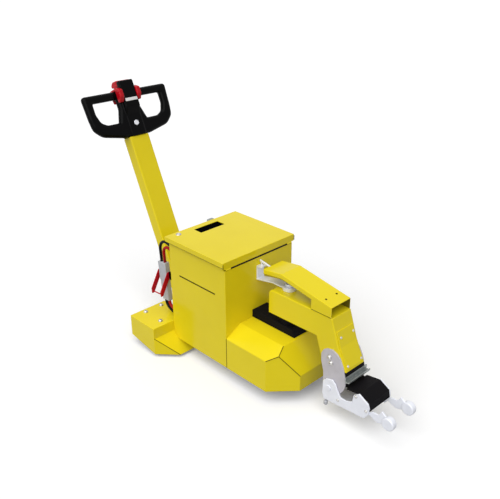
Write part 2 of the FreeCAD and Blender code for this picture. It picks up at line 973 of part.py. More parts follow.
def cheek_plates():
    """Coupling plates bolted to both sides of the gooseneck, with the fork's pivot pins."""
    inner = "neck_width / 2"
    outer = "neck_width / 2 + cheek_plate"
    fork_face = f"{outer} + cheek_gap + fork_plate"
    hole = [("fork_pivot_x", "fork_pivot_z", "fork_pin")]
    head = [("fork_pivot_x", "fork_pivot_z", "fork_pin + 3")]
    cheeks = new_body("cheek_plates", several=True)
    for low, high in both_sides(inner, outer):
        extrude(cheeks, "XZ", low, high, [plate_points(CHEEK_OUTLINE)])
        extrude(cheeks, "XZ", low, high, circles=hole, cut=True)
    pins = new_body("fork_pins", several=True)
    for low, high in both_sides(inner, f"{fork_face} + fork_pin_head"):
        extrude(pins, "XZ", low, high, circles=hole)
    for low, high in both_sides(f"{fork_face} + thrust_gap", f"{fork_face} + fork_pin_head"):
        extrude(pins, "XZ", low, high, circles=head)


def fork():
    """The lifting fork: arms and their tie, prongs with round pads, buffers and the cradle."""
    near = "(neck_width / 2 + cheek_plate + cheek_gap)"
    far = f"({near} + fork_plate)"
    inside = f"({near} - fork_plate)"
    arms = new_body("fork_arms", several=True)
    prongs = new_body("fork_prongs", several=True)
    pads = new_body("fork_pads", several=True)
    hole = [("fork_pivot_x", "fork_pivot_z", "fork_pin + run_gap")]
    for low, high in both_sides(near, far):
        extrude(arms, "XZ", low, high, [plate_points(ARM_OUTLINE)])
        extrude(arms, "XZ", low, high, circles=hole, cut=True)
    disc = [("pad_x", "pad_z", "pad_radius")]
    for low, high in both_sides(f"{inside} - pad_lip", f"{far} + pad_lip"):
        extrude(pads, "XZ", low, high, circles=disc)
    for low, high in both_sides(inside, near):
        extrude(prongs, "XZ", low, high, [plate_points(PRONG_OUTLINE)])
        extrude(pads, "XZ", low, high, [plate_points(PRONG_OUTLINE)], cut=True)
    buffers = new_body("fork_buffers", x="buffer_x", several=True)
    middle = f"{near} + fork_plate / 2"
    low, high = "buffer_z - buffer_radius", "buffer_z + buffer_radius"
    for side in ("", "-"):
        spot = ("0", f"{side}({middle})")
        extrude(buffers, "XY", low, high, circles=[(*spot, "buffer_radius")])
        extrude(buffers, "XY", high, "fork_low", circles=[(*spot, "buffer_stud")])
    round_edges(
        buffers,
        "buffer_radius / 2",
        lambda edge, middle: edge.Length > 6 * size("buffer_radius"),
    )
    cradle = new_body("cradle")
    extrude(cradle, "XZ", f"-{near}", near, [plate_points(CRADLE_OUTLINE)])
    for low, high in both_sides("neck_width / 2 - cradle_side_gap", near):
        notch = box_points("cradle_rear", low, "cradle_notch", high)
        extrude(cradle, "XY", "cradle_low", "cradle_high", [notch], cut=True)
    tie = new_body("fork_tie")
    floor = box_points("tie_rear", "tie_low", "tie_front", "tie_low + tie_plate")
    extrude(tie, "XZ", f"-{near}", near, [floor])


def guard_form(name, side, wall):
    """A castor guard's outside form, or its hollow when wall is the sheet's thickness."""
    body = doc.addObject("PartDesign::Body", name)
    body.setExpression("Placement.Base.x", cells("front_x"))
    solid = wall == "0"
    outer = f"(guard_outer - {wall})"
    inner = f"(guard_inner + {wall})"
    top = f"guard_top - {wall}"
    nose = f"-(box_length - ramp_reach + 1.5 * {wall})"
    outline = [
        (f"-(box_length + guard_back - {wall})", top),
        (f"-(box_length + guard_back - {wall})", "guard_rear_gap" if solid else "0"),
        ("-box_length" if solid else nose, "guard_floor_gap" if solid else "0"),
        (nose, "guard_floor_gap"),
        (f"-(box_length + {wall})", f"ramp_top - 0.45 * {wall}"),
        (f"-(box_length + {wall})", top),
    ]
    low, high = (f"-{outer}", f"-{inner}") if side else (inner, outer)
    extrude(body, "XZ", low, high, [outline])
    corner = [
        (f"-(box_length + 0.4 * {wall})", f"{side}{outer}"),
        ("-(box_length - ramp_reach) + 1", f"{side}{outer}"),
        ("-(box_length - ramp_reach) + 1", f"{side}(ramp_corner - 1.36 * {wall} - 1)"),
    ]
    extrude(body, "XY", "-1", "ramp_top", [corner], cut=True)
    return body


def guards():
    """A sheet guard over each castor, with a ramp in front that runs in under the box."""
    for label, side in (("right", "-"), ("left", "")):
        outside = guard_form(f"guard_outside_{label}", side, "0")
        edge = "box_width / 2"
        low, high = (f"-{edge}", "-guard_inner + 1") if side else ("guard_inner - 1", edge)
        beside_box = box_points("-box_length", "ground_gap", "0", "guard_top")
        extrude(outside, "XZ", low, high, [beside_box], cut=True)
        cut = doc.addObject("Part::Cut", f"castor_guard_{label}")
        cut.Base = outside
        cut.Tool = guard_form(f"guard_hollow_{label}", side, "guard_sheet")
        keep(cut, f"castor_guard_{label}")


def castors():
    """A swivelling castor under each guard: plate and king pin, fork, axle and wheel."""
    plate_low = "guard_top - guard_sheet - castor_plate"
    race_low = f"{plate_low} - castor_race"
    crown_top = f"{race_low} - thrust_gap"
    crown_low = f"{crown_top} - castor_crown"
    plates = new_body("castor_plates", "-(box_length + castor_back)", several=True)
    nut_top = f"{crown_low} - thrust_gap"
    for side in ("", "-"):
        spot = ("0", f"{side}castor_side")
        half_x = "castor_plate_length / 2"
        low_y = f"{spot[1]} - castor_plate_width / 2"
        high_y = f"{spot[1]} + castor_plate_width / 2"
        sheet_edge = box_points(f"-{half_x}", low_y, half_x, high_y)
        extrude(plates, "XY", plate_low, "guard_top - guard_sheet", [sheet_edge])
        race = [(*spot, "castor_race_radius")]
        extrude(plates, "XY", race_low, plate_low, circles=race)
        extrude(plates, "XY", nut_top, race_low, circles=[(*spot, "king_pin")])
        nut = [(*spot, "king_pin + 3")]
        extrude(plates, "XY", f"{nut_top} - king_pin / 2", nut_top, circles=nut)
    for label, side in (("right", "-"), ("left", "")):
        spot = ("-(box_length + castor_back)", f"{side}castor_side")
        arms = new_body(f"castor_fork_{label}", *spot)
        gap = "(castor_wheel_width / 2 + 2)"
        half = f"({gap} + castor_fork_sheet)"
        rear = "-(castor_trail + 12)"
        crown = box_points(rear, f"-{half}", "castor_race_radius - 2", half)
        extrude(arms, "XY", crown_low, crown_top, [crown])
        bore = [("0", "0", "king_pin + run_gap")]
        extrude(arms, "XY", crown_low, crown_top, circles=bore, cut=True)
        cheek = [
            (rear, crown_low),
            ("-castor_trail - 10", "castor_wheel_radius - 9"),
            ("-castor_trail + 10", "castor_wheel_radius - 9"),
            ("castor_race_radius - 6", crown_low),
        ]
        axle_line = [("-castor_trail", "castor_wheel_radius", "castor_axle")]
        for low, high in ((f"-{half}", f"-{gap}"), (gap, half)):
            extrude(arms, "XZ", low, high, [cheek])
        extrude(arms, "XZ", f"-{half}", half, circles=axle_line, cut=True)
        axle = new_body(f"castor_axle_{label}", *spot)
        extrude(axle, "XZ", f"-({half} + 3)", f"{half} + 3", circles=axle_line)
        wheel = new_body(
            f"castor_wheel_{label}",
            "-(box_length + castor_back + castor_trail)",
            f"{side}castor_side",
            "castor_wheel_radius",
        )
        wide = "castor_wheel_width / 2"
        turn(
            wheel,
            [
                (f"-{wide}", "castor_axle + run_gap"),
                (wide, "castor_axle + run_gap"),
                (wide, "castor_wheel_radius - 3"),
                (f"{wide} - 4", "castor_wheel_radius"),
                (f"-({wide} - 4)", "castor_wheel_radius"),
                (f"-{wide}", "castor_wheel_radius - 3"),
            ],
        )


def tiller():
    """The tiller's base between the guards, its ears and pin, and the tube of the arm."""
    base = new_body("rear_plate")
    level = "ground_gap + rear_plate"
    extrude(
        base,
        "XY",
        "ground_gap",
        level,
        [box_points("-(box_length + guard_back)", "-guard_inner", "-box_length", "guard_inner")],
    )
    middle = "box_length + tiller_back"
    gap = "(arm_width / 2 + ear_gap)"
    ear = [
        (f"-({middle} + ear_rear)", level),
        (f"-({middle} - ear_front)", level),
        (f"-({middle} - 0.83 * ear_round)", "tiller_z + 0.58 * ear_round"),
        (f"-({middle} - 0.33 * ear_round)", "tiller_z + ear_round"),
        (f"-({middle} + 0.33 * ear_round)", "tiller_z + ear_round"),
        (f"-({middle} + 0.83 * ear_round)", "tiller_z + 0.58 * ear_round"),
    ]
    hole = [(f"-({middle})", "tiller_z", "tiller_pin")]
    ears = new_body("tiller_ears", several=True)
    for low, high in both_sides(gap, f"{gap} + ear_plate"):
        extrude(ears, "XZ", low, high, [ear])
        extrude(ears, "XZ", low, high, circles=hole, cut=True)
    pin = new_body("tiller_pin")
    reach = f"{gap} + ear_plate + pin_end"
    extrude(pin, "XZ", f"-({reach})", reach, circles=hole)
    arm = new_body("tiller_arm", f"-({middle})", "0", "tiller_z", lean="tiller_lean")
    half = "arm_width / 2"
    deep = "(arm_depth / 2)"
    side = [
        (f"-{deep}", "0"),
        (f"-0.7 * {deep}", f"-0.7 * {deep}"),
        ("0", f"-{deep}"),
        (f"0.7 * {deep}", f"-0.7 * {deep}"),
        (deep, "0"),
        (deep, "arm_length"),
        (f"-{deep}", "arm_length"),
    ]
    extrude(arm, "XZ", f"-{half}", half, [side])
    inner = f"({half} - arm_wall)"
    tube = box_points(f"-({deep} - arm_wall)", "arm_depth", f"{deep} - arm_wall", "arm_length - arm_cap")
    extrude(arm, "XZ", f"-{inner}", inner, [tube], cut=True)
    bore = [("0", "0", "tiller_pin + run_gap")]
    extrude(arm, "XZ", f"-({half})", half, circles=bore, cut=True)


# Outer edge of the head's ring, as pairs of distance from the middle and height on the arm.
RING_OUTLINE = ((118, 11), (166, 24), (186, 36), (199, 55), (206, 90))
# Low outer corner of a hand loop, in from the loop's side and up from its lowest edge.
LOOP_CORNER = ((40, 1), (22, 6), (8, 22), (0, 52))


def tiller_head():
    """Moulded head: a ring of two hand loops, a tower in the middle, and the controls."""
    spot = (
        "-(box_length + tiller_back + arm_length * sin(tiller_lean))",
        "0",
        "tiller_z + arm_length * cos(tiller_lean)",
        "tiller_lean",
    )
    head = new_body("tiller_head", *spot)
    grip_top = "grip_level + grip_radius"
    half_ring = [
        ("head_foot", "seat_gap"),
        *plate_points(RING_OUTLINE),
        ("head_half_width", "grip_level - grip_radius"),
        ("head_half_width", f"{grip_top} - head_corner"),
        ("head_half_width - head_corner", grip_top),
    ]
    ring = half_ring + [(f"-({across})", up) for across, up in half_ring[::-1]]
    low = "grip_offset - grip_radius"
    high = "grip_offset + grip_radius"
    extrude(head, "YZ", low, high, [ring])
    for side in ("", "-"):
        loop = [
            (f"{side}web_low", "loop_low"),
            *((f"{side}(loop_half_width - {back})", f"loop_low + {up}") for back, up in LOOP_CORNER),
            (f"{side}loop_half_width", "grip_level - grip_radius"),
            (f"{side}web_high", "grip_level - grip_radius"),
            (f"{side}web_high", "loop_low + web_taper"),
        ]
        extrude(head, "YZ", low, high, [loop], cut=True)
    tower = [
        ("-arm_depth / 2", "seat_gap"),
        ("arm_depth / 2", "seat_gap"),
        ("tower_face", "tower_foot"),
        ("tower_face", "tower_waist"),
        ("tower_jut", "tower_chin"),
        ("tower_jut", "tower_top"),
        ("button_face", "tower_top"),
        ("button_face", "button_low"),
        (low, "button_low - button_proud"),
        (low, "loop_low"),
        ("-arm_depth / 2", "tower_heel"),
    ]
    extrude(head, "XZ", "-tower_half", "tower_half", [tower])
    paddles = new_body("throttle_paddles", *spot, several=True)
    wing = [
        (f"{low} - paddle_rear", "grip_level - 0.5 * grip_radius"),
        (f"{low} - 0.7 * paddle_rear", f"{grip_top} + 0.7 * paddle_over"),
        (f"{high} + 0.2 * paddle_front", f"{grip_top} + paddle_over"),
        (f"{high} + paddle_front", "grip_level + 0.9 * grip_radius"),
        (f"{high} + paddle_front", "grip_level - 0.8 * grip_radius"),
        (f"{high} + 0.5 * paddle_front", "grip_level - grip_radius - paddle_under"),
        (f"{low} - 0.4 * paddle_rear", "grip_level - grip_radius - 0.8 * paddle_under"),
    ]
    hole = box_points(
        f"{low} - seat_gap",
        "grip_level - grip_radius - 2 * paddle_under",
        f"{high} + seat_gap",
        f"{grip_top} + seat_gap",
    )
    for near, far in both_sides("tower_half", "tower_half + paddle_width"):
        extrude(paddles, "XZ", near, far, [wing])
        extrude(paddles, "XZ", near, far, [hole], cut=True)
    button = new_body("safety_button", *spot)
    knob = [
        ("button_face", "button_low"),
        ("button_face", "tower_top + 0.7 * button_proud"),
        (low, "tower_top + button_proud"),
        (f"{low} - button_reach", "tower_top - button_proud"),
        (f"{low} - button_reach", "button_low + button_proud"),
        (low, "button_low"),
    ]
    half = "(tower_half - button_side)"
    extrude(button, "XZ", f"-{half}", half, [knob])


def plug_frame(across, up):
    """Distances along X and Z of a point given in the leaning connector's own frame."""
    return (
        f"(-(box_length + plug_back) + ({across}) * cos(plug_lean) - ({up}) * sin(plug_lean))",
        f"(plug_middle + ({across}) * sin(plug_lean) + ({up}) * cos(plug_lean))",
    )


def lead(body, pole, sign, housing, corner, radius, slope):
    """A battery lead: out of the connector's pole, round one bend and in through the box."""
    before = 0.0 if body.Shape.isNull() else body.Shape.Volume
    start = (pole, f"{sign} * ({housing} - lead_socket)")
    tangent = f"({radius} * tan((90 + {sign} * ({slope})) / 2))"
    arc_start = (pole, f"{corner} - {sign} * {tangent}")
    arc_end = (f"{pole} + {tangent} * cos({slope})", f"{corner} - {tangent} * sin({slope})")
    corner_x = plug_frame(pole, corner)[0]
    wall = "-(box_length - box_sheet - lead_inside)"
    run = f"(({wall} - {corner_x}) / cos({slope} - plug_lean))"
    finish = (f"{pole} + {run} * cos({slope})", f"{corner} - {run} * sin({slope})")
    line = new_sketch(body, "XZ")
    spots = [
        FreeCAD.Vector(worth(across), worth(up), 0)
        for across, up in (start, arc_start, arc_end, finish)
    ]
    middle = FreeCAD.Vector(worth(pole) + worth(radius), worth(arc_start[1]), 0)
    circle = Part.Circle(middle, FreeCAD.Vector(0, 0, 1), worth(radius))
    tilt = math.radians(worth(slope))
    if sign == "1":
        bend = Part.ArcOfCircle(circle, math.pi / 2 - tilt, math.pi)
    else:
        bend = Part.ArcOfCircle(circle, math.pi, 1.5 * math.pi - tilt)
    line.addGeometry(Part.LineSegment(spots[0], spots[1]), False)
    line.addGeometry(bend, False)
    line.addGeometry(Part.LineSegment(spots[2], spots[3]), False)
    first, last = (2, 1) if sign == "1" else (1, 2)
    line.addConstraint(Sketcher.Constraint("Coincident", 0, 2, 1, first))
    line.addConstraint(Sketcher.Constraint("Coincident", 1, last, 2, 1))
    pin_point(line, 0, 1, *start)
    pin_point(line, 0, 2, *arc_start)
    pin_point(line, 2, 1, *arc_end)
    pin_point(line, 2, 2, *finish)
    index = line.addConstraint(Sketcher.Constraint("Radius", 1, worth(radius)))
    line.setExpression(f"Constraints[{index}]", cells(radius))
    section = new_sketch(body, "XY", start[1])
    draw_circle(section, pole, "0", "lead_radius")
    pipe = body.newObject("PartDesign::AdditivePipe", "Run")
    pipe.Profile = section
    pipe.Spine = (line, ["Edge1", "Edge2", "Edge3"])
    doc.recompute()
    length = sum(edge.Length for edge in line.Shape.Edges)
    swept = math.pi * size("lead_radius") ** 2 * length
    added = body.Shape.Volume - before
    print(f"{body.Label}: bend {worth(radius):.1f} mm, length {length:.1f} mm")
    print(f"    volume {added:.0f} mm3 against {swept:.0f} mm3")


def connector():
    """Two-pole battery connector behind the box, with its clip, handle, leads and grommets."""
    spot = ("-(box_length + plug_back)", "-plug_side", "plug_middle", "plug_lean")
    wide = "(plug_width / 2)"
    deep = "(plug_depth / 2)"
    upper = new_body("connector_upper", *spot)
    housing = box_points(f"-{wide}", f"-{deep}", wide, deep)
    extrude(upper, "XY", "0", "plug_upper", [housing])
    sockets = [(f"{side}pole_offset", "0", "lead_radius + seat_gap") for side in ("", "-")]
    extrude(upper, "XY", "plug_upper - lead_socket", "plug_upper", circles=sockets, cut=True)
    lower = new_body("connector_lower", *spot)
    narrow = f"({wide} - plug_step)"
    thin = f"({deep} - plug_step / 3)"
    housing = box_points(f"-{narrow}", f"-{thin}", narrow, thin)
    extrude(lower, "XY", "-plug_lower", "0", [housing])
    extrude(lower, "XY", "-plug_lower", "lead_socket - plug_lower", circles=sockets, cut=True)
    clip = new_body("connector_clip")
    face = [plug_frame(wide, "clip_low"), plug_frame(wide, "clip_high")]
    tongue = [face[0], face[1], ("-box_length", face[1][1]), ("-box_length", face[0][1])]
    edge = "(plug_side - plug_depth / 2)"
    extrude(clip, "XZ", f"-({edge} + clip_width)", f"-{edge}", [tongue])
    handle = new_body("connector_handle", *spot)
    rail = [
        ("0", "handle_root + handle_flat"),
        ("-handle_out", "handle_root - handle_drop + handle_flat"),
        ("-handle_out", "handle_root - handle_drop - handle_flat"),
        ("0", "handle_root - handle_flat"),
    ]
    outer = f"({wide} + handle_sheet)"
    for low, high in ((f"-{outer}", f"-{wide}"), (wide, outer)):
        extrude(handle, "YZ", low, high, [rail])
    bar = [("-handle_out + handle_bar", "handle_root - handle_drop", "handle_bar")]
    extrude(handle, "YZ", f"-{outer}", outer, circles=bar)
    dip, slope = "plug_lean + lead_dip", "plug_lean + lead_slope"
    for colour, pole in (("black", "-pole_offset"), ("red", "pole_offset")):
        body = new_body(f"lead_{colour}", *spot, several=True)
        lead(body, pole, "1", "plug_upper", f"{colour}_corner_high", f"{colour}_bend_high", dip)
        lead(body, pole, "-1", "plug_lower", f"-{colour}_corner_low", f"{colour}_bend_low", slope)
    grommets = new_body("lead_grommets", several=True)
    outside = "-(box_length + grommet_lip)"
    inside = "-(box_length - box_sheet)"
    for height in ("upper_hole_level", "lower_hole_level"):
        hole = ("-cable_hole_side", height)
        extrude(grommets, "YZ", outside, "-box_length", circles=[(*hole, "cable_hole + grommet_flange")])
        extrude(grommets, "YZ", "-box_length", inside, circles=[(*hole, "cable_hole")])
        bore = [(*hole, "cable_hole - grommet_wall")]
        extrude(grommets, "YZ", outside, inside, circles=bore, cut=True)


def centre_and_write():
    """Centre the machine along X, check every object and write each sub-part's shape."""
    doc.recompute()
    low = min(piece.Shape.BoundBox.XMin for piece in nodes)
    high = max(piece.Shape.BoundBox.XMax for piece in nodes)
    sheet.set("B1", str(size("front_x") - (low + high) / 2))
    doc.recompute()
    print(f"front_x {size('front_x'):.4f}")
    for thing in doc.Objects:
        if {"Invalid", "Error"} & set(thing.State):
            raise RuntimeError(f"{thing.Label} did not build: {thing.State}")
    os.makedirs("parts", exist_ok=True)
    for piece in nodes:
        shape = piece.Shape
        if shape.isNull() or not shape.isValid():
            raise RuntimeError(f"{piece.Label} has no valid shape")
        shape.exportStep(f"parts/{piece.Label}.step")
    print(len(nodes), "sub-parts")


battery_box()
battery_pack()
lid()
lid_fittings()
hinge()
drive_cover()
drive_unit()
drive_wheels()
pivot()
upper_bracket()
gooseneck()
hood()
neck_fittings()
cheek_plates()
fork()
guards()
castors()
tiller()
tiller_head()
connector()
centre_and_write()
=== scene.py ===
"""Looks of an electric tow tug: battery body, drive cover, castors, tiller, gooseneck, fork."""
from __future__ import annotations

import json
import logging
import math
from contextlib import contextmanager
from dataclasses import dataclass, replace
from enum import Enum
from typing import Iterable, Iterator, Sequence

import bmesh
import bpy
from bmesh.types import BMEdge, BMFace, BMVert, BMesh
from bpy.types import Curve, Material, Mesh, Node, NodeSocket, NodeTree, Object
from mathutils import Matrix, Vector


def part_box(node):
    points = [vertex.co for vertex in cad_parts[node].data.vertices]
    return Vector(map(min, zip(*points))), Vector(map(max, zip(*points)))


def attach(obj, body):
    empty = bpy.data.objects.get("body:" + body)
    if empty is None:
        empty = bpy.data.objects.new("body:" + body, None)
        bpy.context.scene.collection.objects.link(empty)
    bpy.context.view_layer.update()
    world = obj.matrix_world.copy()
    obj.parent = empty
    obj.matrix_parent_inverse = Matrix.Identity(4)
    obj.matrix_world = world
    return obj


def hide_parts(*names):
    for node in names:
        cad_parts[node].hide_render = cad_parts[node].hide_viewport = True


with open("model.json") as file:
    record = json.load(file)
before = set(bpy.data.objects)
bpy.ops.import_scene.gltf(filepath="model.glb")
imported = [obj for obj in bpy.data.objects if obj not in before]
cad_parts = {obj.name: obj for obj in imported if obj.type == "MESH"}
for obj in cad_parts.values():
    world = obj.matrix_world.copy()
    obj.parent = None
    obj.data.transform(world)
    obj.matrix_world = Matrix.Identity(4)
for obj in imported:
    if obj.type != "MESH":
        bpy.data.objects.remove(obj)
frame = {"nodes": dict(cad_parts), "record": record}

log = logging.getLogger("tow_tug")
Point2 = tuple[float, float]
Point3 = tuple[float, float, float]
MM = 0.001
WELD = 2e-6  # metres within which two corners of a mesh are one
LEVEL = 1e-7  # metres within which two heights are the same
SIDES: tuple[tuple[str, float], ...] = (("right", -1.0), ("left", 1.0))
LEFT = Vector((0.0, 1.0, 0.0))
UP = Vector((0.0, 0.0, 1.0))


class Slot(Enum):
    """The part's material slots."""

    YELLOW = "yellow_paint"
    BLACK_STEEL = "black_steel"
    BLACK_PLASTIC = "black_plastic"
    BLACK_LEAD = "black_lead"
    RED_LEAD = "red_lead"
    RED_PLASTIC = "red_plastic"
    GREY_PLASTIC = "grey_plastic"
    ZINC = "zinc_steel"
    TYRE = "tyre_rubber"
    CASTOR = "castor_rubber"


class Drive(Enum):
    """The recess in a screw's head."""

    HEX_SOCKET = "hex socket"
    PLAIN = "plain"


# ---------------------------------------------------------------- finishes


def shading(tree: NodeTree, kind: str, **values: object) -> Node:
    """Add a shader node and set its inputs.

    Args:
        tree: the node tree.
        kind: the node's kind, without the ShaderNode in front.
        values: the inputs' values by name, with _ for a space.

    Returns:
        The new node.
    """
    made = tree.nodes.new(f"ShaderNode{kind}")
    for name, value in values.items():
        made.inputs[name.replace("_", " ")].default_value = value
    return made


FULL_COLOUR = 0.62  # the point of the clouds' range from which a finish has its full colour


@dataclass(frozen=True)
class Finish:
    """A surface finish: colour with cloudy variation, roughness and a fine bump.

    Attributes:
        name: the material's name.
        slot: the part's material slot for its pieces; not used.
        colour: linear base colour.
        shade: linear colour that the cloudy variation leans towards.
        roughness: mean roughness.
        spread: how far the roughness varies either way.
        metallic: how far the surface is bare metal, from 0 to 1.
        shine: how strongly the surface mirrors head on; 0.5 is a common plastic.
        grain: size of the bump's grain in metres.
        depth: height of the bump in metres.
        cloud: size of the colour's clouds in metres.
        mottle: how much of the surface leans to the shade, from 0 to 1.
    """

    name: str
    slot: Slot
    colour: Point3
    shade: Point3
    roughness: float = 0.4
    spread: float = 0.06
    metallic: float = 0.0
    shine: float = 0.25
    grain: float = 0.0016
    depth: float = 0.00004
    cloud: float = 0.12
    mottle: float = 0.25

    def material(self) -> Material:
        """Build the material the first time it is asked for.

        Returns:
            The finish's node material.
        """
        known = bpy.data.materials.get(self.name)
        if known is not None:
            return known
        material = bpy.data.materials.new(self.name)
        material.use_nodes = True
        tree = material.node_tree
        shader = tree.nodes["Principled BSDF"]
        shader.inputs["Metallic"].default_value = self.metallic
        shader.inputs["Specular IOR Level"].default_value = self.shine
        clouds = self._noise(tree, self.cloud, 3.0)
        ramp = shading(tree, "ValToRGB")
        first, last = ramp.color_ramp.elements
        first.position = 0.5 * self.mottle
        first.color = (*self.shade, 1.0)
        last.position = FULL_COLOUR
        last.color = (*self.colour, 1.0)
        tree.links.new(clouds, ramp.inputs["Fac"])
        tree.links.new(ramp.outputs["Color"], shader.inputs["Base Color"])
        least, most = self.roughness - self.spread, self.roughness + self.spread
        rough = shading(tree, "MapRange", To_Min=least, To_Max=most)
        tree.links.new(clouds, rough.inputs["Value"])
        tree.links.new(rough.outputs["Result"], shader.inputs["Roughness"])
        bump = shading(tree, "Bump", Distance=self.depth, Strength=1.0)
        tree.links.new(self._noise(tree, self.grain, 2.0), bump.inputs["Height"])
        tree.links.new(bump.outputs["Normal"], shader.inputs["Normal"])
        return material

    @staticmethod
    def _noise(tree: NodeTree, size: float, detail: float) -> NodeSocket:
        """Add a noise texture in object space.

        Args:
            tree: the material's node tree.
            size: size of the noise's cells in metres.
            detail: octaves of the noise.

        Returns:
            The socket that carries the noise.
        """
        place = shading(tree, "TexCoord")
        noise = shading(tree, "TexNoise", Scale=1.0 / size, Detail=detail)
        tree.links.new(place.outputs["Object"], noise.inputs["Vector"])
        return noise.outputs["Fac"]


YELLOW_PAINT = Finish(
    "yellow_powder_paint", Slot.YELLOW, (0.83, 0.675, 0.012), (0.78, 0.625, 0.010),
    roughness=0.17, spread=0.05, shine=0.15, grain=0.0021, depth=0.000015, cloud=0.18,
)
BLACK_PAINT = Finish(
    "black_satin_paint", Slot.BLACK_STEEL, (0.009, 0.008, 0.009), (0.006, 0.006, 0.007),
    roughness=0.55, shine=0.03, grain=0.0018, depth=0.00004,
)
MOULDED_BLACK = Finish(
    "moulded_black_plastic", Slot.BLACK_PLASTIC, (0.0015, 0.0015, 0.0018), (0.001, 0.001, 0.0012),
    roughness=0.22, spread=0.05, shine=0.06, grain=0.0007, depth=0.00002,
)
SCREEN_GLASS = Finish(
    "display_glass", Slot.BLACK_PLASTIC, (0.002, 0.002, 0.0025), (0.0015, 0.0015, 0.002),
    roughness=0.5, spread=0.03, shine=0.0, grain=0.02, depth=0.00001,
)
RED_GLOSS = Finish(
    "red_gloss_plastic", Slot.RED_PLASTIC, (0.52, 0.004, 0.012), (0.42, 0.003, 0.01),
    roughness=0.30, shine=0.2, grain=0.001, depth=0.00002,
)
GREY_HOUSING = Finish(
    "grey_connector_plastic", Slot.GREY_PLASTIC, (0.50, 0.51, 0.54), (0.42, 0.43, 0.46),
    roughness=0.45, grain=0.0009, depth=0.00003, cloud=0.04,
)
ZINC_PLATE = Finish(
    "bright_zinc", Slot.ZINC, (0.86, 0.87, 0.91), (0.75, 0.76, 0.80),
    roughness=0.38, spread=0.1, metallic=0.25, grain=0.0012, depth=0.00003,
    cloud=0.03, mottle=0.5,
)
BOLT_ZINC = Finish(
    "zinc_bolt_heads", Slot.ZINC, (0.60, 0.59, 0.57), (0.48, 0.47, 0.46),
    roughness=0.30, spread=0.1, metallic=0.95, grain=0.001, depth=0.00002,
    cloud=0.02, mottle=0.5,
)
PALE_STEEL = Finish(
    "pale_coated_steel", Slot.ZINC, (0.88, 0.90, 0.97), (0.81, 0.83, 0.90),
    roughness=0.36, spread=0.08, metallic=0.12, grain=0.0014, depth=0.00004,
    cloud=0.035, mottle=0.4,
)
PLATE_STEEL = Finish(
    "grey_plate_steel", Slot.ZINC, (0.54, 0.52, 0.56), (0.47, 0.45, 0.49),
    roughness=0.42, spread=0.08, metallic=0.3, grain=0.0014, depth=0.00004,
    cloud=0.035, mottle=0.4,
)
# Painted shade: a dark olive on the hood's inside, standing for the shadow there.
PAINTED_HOOD_SHADE = Finish(
    "painted_hood_inside_shade", Slot.YELLOW, (0.20, 0.165, 0.008), (0.15, 0.125, 0.008),
    roughness=0.6, spread=0.1, grain=0.0012, depth=0.00003, cloud=0.05, mottle=0.5,
)
DARK_ZINC = Finish(
    "dull_zinc", Slot.ZINC, (0.34, 0.36, 0.35), (0.26, 0.28, 0.28),
    roughness=0.45, metallic=1.0, grain=0.001, depth=0.00004, cloud=0.03, mottle=0.5,
)
BLACK_RUBBER = Finish(
    "black_rubber", Slot.TYRE, (0.02, 0.02, 0.021), (0.03, 0.03, 0.03),
    roughness=0.7, spread=0.1, grain=0.0012, depth=0.00008, cloud=0.05, mottle=0.5,
)
BLACK_LEAD = Finish(
    "black_lead_sheath", Slot.BLACK_LEAD, (0.004, 0.004, 0.004), (0.007, 0.007, 0.007),
    roughness=0.4, shine=0.08, grain=0.002, depth=0.00004, cloud=0.05,
)
RED_LEAD = Finish(
    "red_lead_sheath", Slot.RED_LEAD, (0.42, 0.008, 0.008), (0.34, 0.006, 0.006),
    roughness=0.38, shine=0.12, grain=0.002, depth=0.00004, cloud=0.05,
)
# Painted shade: the yellow paint's colour in deep shadow, for dark beads along joints between
# panels.
SEAM_SHADE = Finish(
    "seam_shade", Slot.YELLOW, (0.10, 0.075, 0.004), (0.07, 0.05, 0.003),
    roughness=0.8, shine=0.05, grain=0.003, depth=0.00002, cloud=0.03,
)
# Painted shade: the yellow paint's colour in deep shadow, for dark beads where shadow falls under
# and into edges.
PAINTED_EDGE_SHADE = Finish(
    "painted_edge_shade", Slot.YELLOW, (0.035, 0.028, 0.004), (0.02, 0.016, 0.003),
    roughness=0.8, shine=0.05, grain=0.002, depth=0.00003, cloud=0.03,
)
WHITE_PLATE = Finish(
    "white_enamel_plate", Slot.BLACK_PLASTIC, (0.85, 0.85, 0.85), (0.80, 0.80, 0.80),
    roughness=0.35, grain=0.003, depth=0.00002, cloud=0.03,
)


CASTOR_RUBBER = replace(BLACK_RUBBER, slot=Slot.CASTOR)
# Painted shade in the two holes of the hood's sloping top.
PAINTED_HOLE_SHADE = replace(PAINTED_EDGE_SHADE, slot=Slot.ZINC)
SWITCH_STEEL = replace(PALE_STEEL, slot=Slot.BLACK_PLASTIC)


# ---------------------------------------------------------------- making meshes


# The outline of a screw's head from its axis out: shares of its radius and of its height.
SCREW_DOME: tuple[Point2, ...] = (
    (0.0, 0.044), (1.18, 0.044), (1.22, 0.11), (1.18, 0.22), (1.0, 0.22),
    (1.0, 0.47), (0.9, 0.72), (0.68, 0.94), (0.45, 1.0),
)
PLAIN_CROWN = 1.02  # share of the height in the middle of a head without a socket
SOCKET_WIDTH = 0.38  # share of the radius from the middle to a socket's corner
SOCKET_FLOOR = 0.45  # share of the height at the socket's floor
CORNER_ROOM = 0.49  # share of a side that one rounded corner may take


